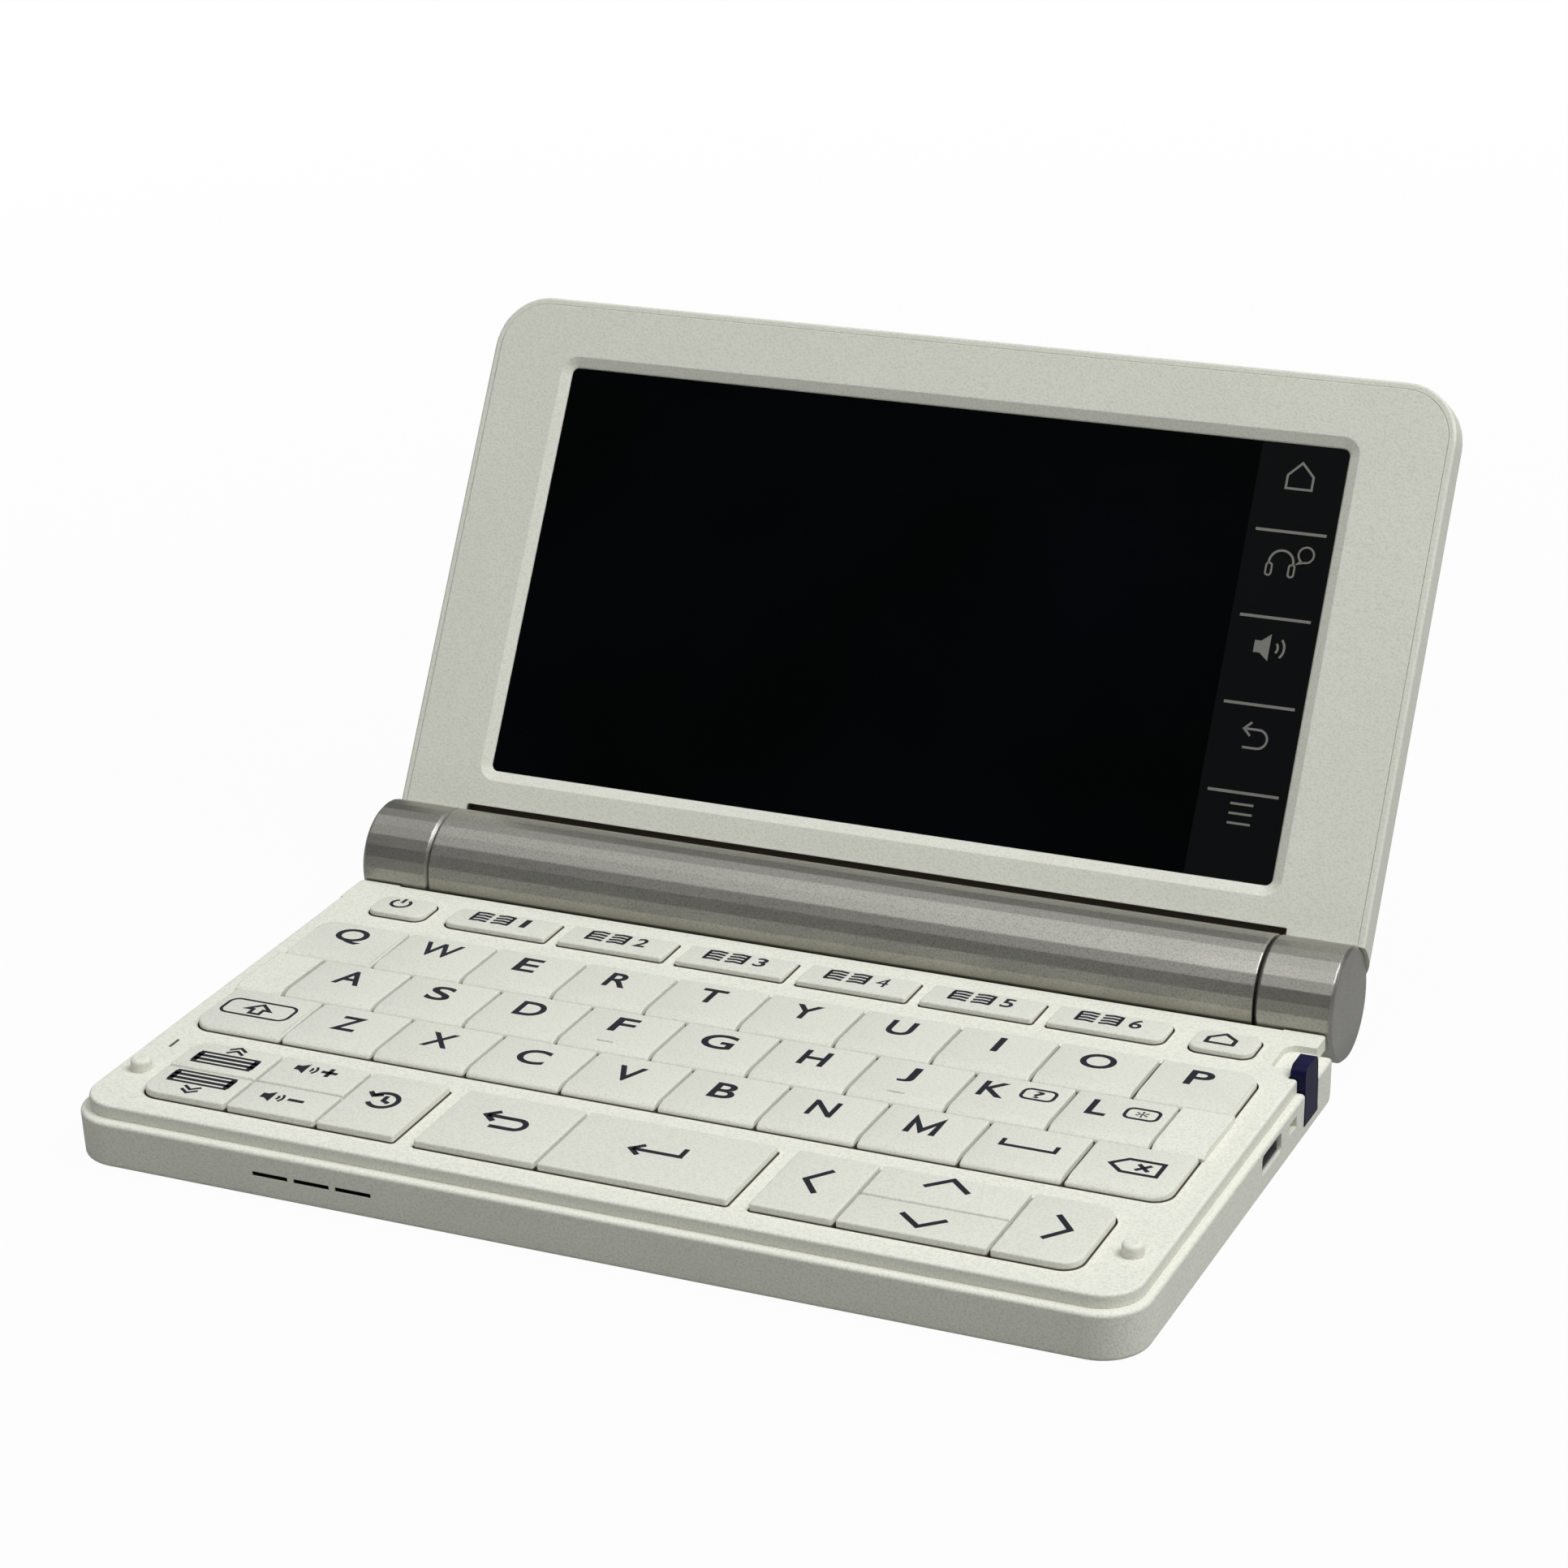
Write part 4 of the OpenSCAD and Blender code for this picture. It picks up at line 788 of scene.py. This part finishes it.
def drawDictionary(mesh, number):
    s, x, y = book, book["x"], book["y"]
    for way in (-1, 1):
        for rise in s["rows"]:
            row = [(x + way * across, y + rise + up) for across, up in s["row"]]
            line(mesh, row, s["rowWidth"])
        line(mesh, [(x + way * across, y + up) for across, up in s["side"]], s["sideWidth"])
    width = s["oneWidth"] if number == 1 else s["numberWidth"]
    glyph(mesh, str(number), x + s["numberX"], y, width, s["numberHeight"])


for name in keys:
    mesh = bmesh.new()
    mark = markOf(name)
    if len(mark) == 1:
        drawLetter(mesh, mark)
        if mark in boxed:
            drawBoxed(mesh, mark)
    elif mark.startswith("dictionary"):
        drawDictionary(mesh, int(mark[-1]))
    elif mark == "heading_rocker":
        drawHeading(mesh)
    elif mark == "volume_rocker":
        drawVolume(mesh)
    else:
        drawStrokes(mesh, *strokes[name])
    layLegend(name, mesh)
print("legends laid")


# touch strip beside the screen

strip = {  # tilt of the glass, how far its face is from the hinge, and how the marks lie on it
    "tilt": 58.3, "face": -1.76, "proud": 0.015, "sunk": 0.05, "sharp": 30,
    "line": 0.32, "fine": 0.26, "speakerSize": 1.3,
}
stripMarks = {  # as for the keys, in X and up along the lid from the hinge
    "strip_lines": ((47.85, 0), [
        (0.4, False, [(0, up), (10.15, up)]) for up in (63.15, 51.0, 38.75, 26.45)
    ]),
    "strip_home": ((52.85, 71.1), [
        (strip["line"], True, housePoints(3.7, 3.7)),
    ]),
    "strip_listen": ((52.3, 58.75), [  # headphones and a speech bubble
        (strip["line"], False, arc(0, 0, 1.75, 188, -8, 16)),
        (strip["fine"], True, ringPoints(-1.62, -1.0, 0.8, 1.7, 0.35)),
        (strip["fine"], True, ringPoints(1.62, -1.0, 0.8, 1.7, 0.35)),
        (strip["fine"], True, [*arc(3.35, 1.45, 1.1, -100, 235, 18), (2.3, 0.1)]),
    ]),
    "strip_voice": ((50.8, 46.85), []),  # a loudspeaker
    "strip_back": ((53.6, 34.05), [
        (strip["line"], False, [(-2.0, -1.3), (0, -1.3), *arc(0, 0, 1.3, -75, 75, 10),
                                (0, 1.3), (-2.1, 1.3)]),
        (strip["line"], False, [(-1.2, 2.25), (-2.2, 1.3), (-1.2, 0.35)]),
    ]),
    "strip_menu": ((53.05, 23.55), [
        (strip["line"], False, [(-1.65, up), (1.65, up)]) for up in (1.35, 0, -1.35)
    ]),
}


def layOnGlass(name, mesh):
    # lays flat marks, drawn in X and up along the lid, on the face of the glass
    turn = Matrix.Rotation(math.radians(strip["tilt"]), 3, "X")
    for vert in mesh.verts:
        lift = strip["proud"] if vert.co.z > 0 else -strip["sunk"]
        vert.co = turn @ Vector((vert.co.x, vert.co.y, strip["face"] + lift)) * mm + hingePlace
    makePiece(name, mesh, iconInk, "lid", strip["sharp"])


for name, (middle, lines) in stripMarks.items():
    mesh = bmesh.new()
    drawStrokes(mesh, middle, lines)
    if name == "strip_voice":
        drawSpeaker(mesh, *middle, strip["speakerSize"], strip["line"])
    layOnGlass(name, mesh)
print("touch strip marked")


# floor, lamps, world and camera

studio = {
    "floorSize": 6.0, "floorDrop": 0.02, "floor": srgb(162, 162, 160), "floorWhite": 0.97,
    "floorFade": (0.18, 0.6),  # the floor turns fully white between these distances, in metres
    "mirrored": 0.45,  # how bright the floor and the backdrop look in metal and glass
    "mirrorFade": 0.1,  # height of a direction at which that brightness ends
    "skyLevel": 1.45,  # times these greys, by the height of a direction
    "sky": ((0, 0.12), (0.3, 0.145), (0.45, 0.06), (0.66, 0.062), (0.82, 0.4), (0.9, 0.5),
            (0.96, 1), (1, 1)),
    "aim": (0, 0, 0.03),  # the place that both lamps face
    "lamps": {  # the second one makes the bright streak on the barrel
        "top": {"place": (0.86, 0.0, 1.3), "size": 0.78, "power": 15.6},
        "sheen": {"place": (-0.08, -0.53, 0.95), "size": 0.3, "power": 0.95},
    },
}


def rayKinds(wire):
    # 1 for a ray from the camera, for a mirrored ray, and for a ray through glass
    camera = wire.node("ShaderNodeLightPath", {}, {}, "Is Camera Ray")
    outputs = camera.socket.node.outputs
    return camera, Wire(outputs["Is Glossy Ray"]), Wire(outputs["Is Transmission Ray"])


def makeFloor(s):
    mesh = bmesh.new()
    half = s["floorSize"] / 2
    corners = [(-half, -half), (half, -half), (half, half), (-half, half)]
    mesh.faces.new([mesh.verts.new((x, y, -s["floorDrop"] * mm)) for x, y in corners])
    data = bpy.data.meshes.new("floor")
    mesh.to_mesh(data)
    mesh.free()
    floor = bpy.data.objects.new("floor", data)
    bpy.context.scene.collection.objects.link(floor)
    material, place = newMaterial("paleFloor")
    camera, glossy, clear = rayKinds(place)
    start, end = s["floorFade"]
    far = place.vector("LENGTH", place, output="Value").steps((start, s["floorWhite"]), (end, 1))
    pale = place.node("ShaderNodeBsdfDiffuse", {}, {"Color": s["floor"]})
    grey = (s["mirrored"], s["mirrored"], s["mirrored"], 1)
    bright = camera.between(grey, (1, 1, 1, 1))
    white = place.node("ShaderNodeEmission", {}, {"Color": bright, "Strength": 1.0})
    shown = place.maths("MAXIMUM", camera, place.maths("MAXIMUM", glossy, clear))
    setSurface(place, place.node("ShaderNodeMixShader", {}, {0: shown * far, 1: pale, 2: white}))
    data.materials.append(material)


def makeLamp(name, s):
    data = bpy.data.lights.new(name, "AREA")
    data.energy = s["power"]
    data.size = s["size"]
    lamp = bpy.data.objects.new(name, data)
    lamp.location = s["place"]
    toAim = Vector(studio["aim"]) - lamp.location
    lamp.rotation_euler = toAim.to_track_quat("-Z", "Y").to_euler()
    bpy.context.scene.collection.objects.link(lamp)


def makeWorld(s):
    world = bpy.data.worlds.new("studio")
    bpy.context.scene.world = world
    world.use_nodes = True
    tree = world.node_tree
    tree.nodes.clear()
    way = Wire(tree.nodes.new("ShaderNodeTexCoord").outputs["Generated"])
    camera, glossy, clear = rayKinds(way)
    height = way.node("ShaderNodeSeparateXYZ", {}, {0: way}, "Z")
    sky = height.steps(*s["sky"]) * s["skyLevel"]
    below = height.steps((0, s["mirrored"]), (s["mirrorFade"], 0))
    below = way.maths("MAXIMUM", glossy, clear) * below
    level = way.maths("MAXIMUM", camera, way.maths("MAXIMUM", sky, below))
    backdrop = way.node("ShaderNodeBackground", {}, {"Color": (1, 1, 1, 1), "Strength": level})
    output = tree.nodes.new("ShaderNodeOutputWorld")
    tree.links.new(backdrop.socket, output.inputs["Surface"])


view = {
    "lens": 97.9, "sensor": 36, "nearest": 0.01,
    "place": (0.22501, -0.478, 0.25585), "turn": (67.573, 1.757, 24.536),
}


def makeCamera(s):
    data = bpy.data.cameras.new("camera")
    data.lens = s["lens"]
    data.sensor_width = s["sensor"]
    data.clip_start = s["nearest"]
    camera = bpy.data.objects.new("camera", data)
    camera.location = s["place"]
    camera.rotation_euler = Euler([math.radians(a) for a in s["turn"]])
    bpy.context.scene.collection.objects.link(camera)
    bpy.context.scene.camera = camera


makeFloor(studio)
for name, settings in studio["lamps"].items():
    makeLamp(name, settings)
makeWorld(studio)
makeCamera(view)
bpy.context.scene.view_settings.view_transform = "Standard"
print("studio and camera set")
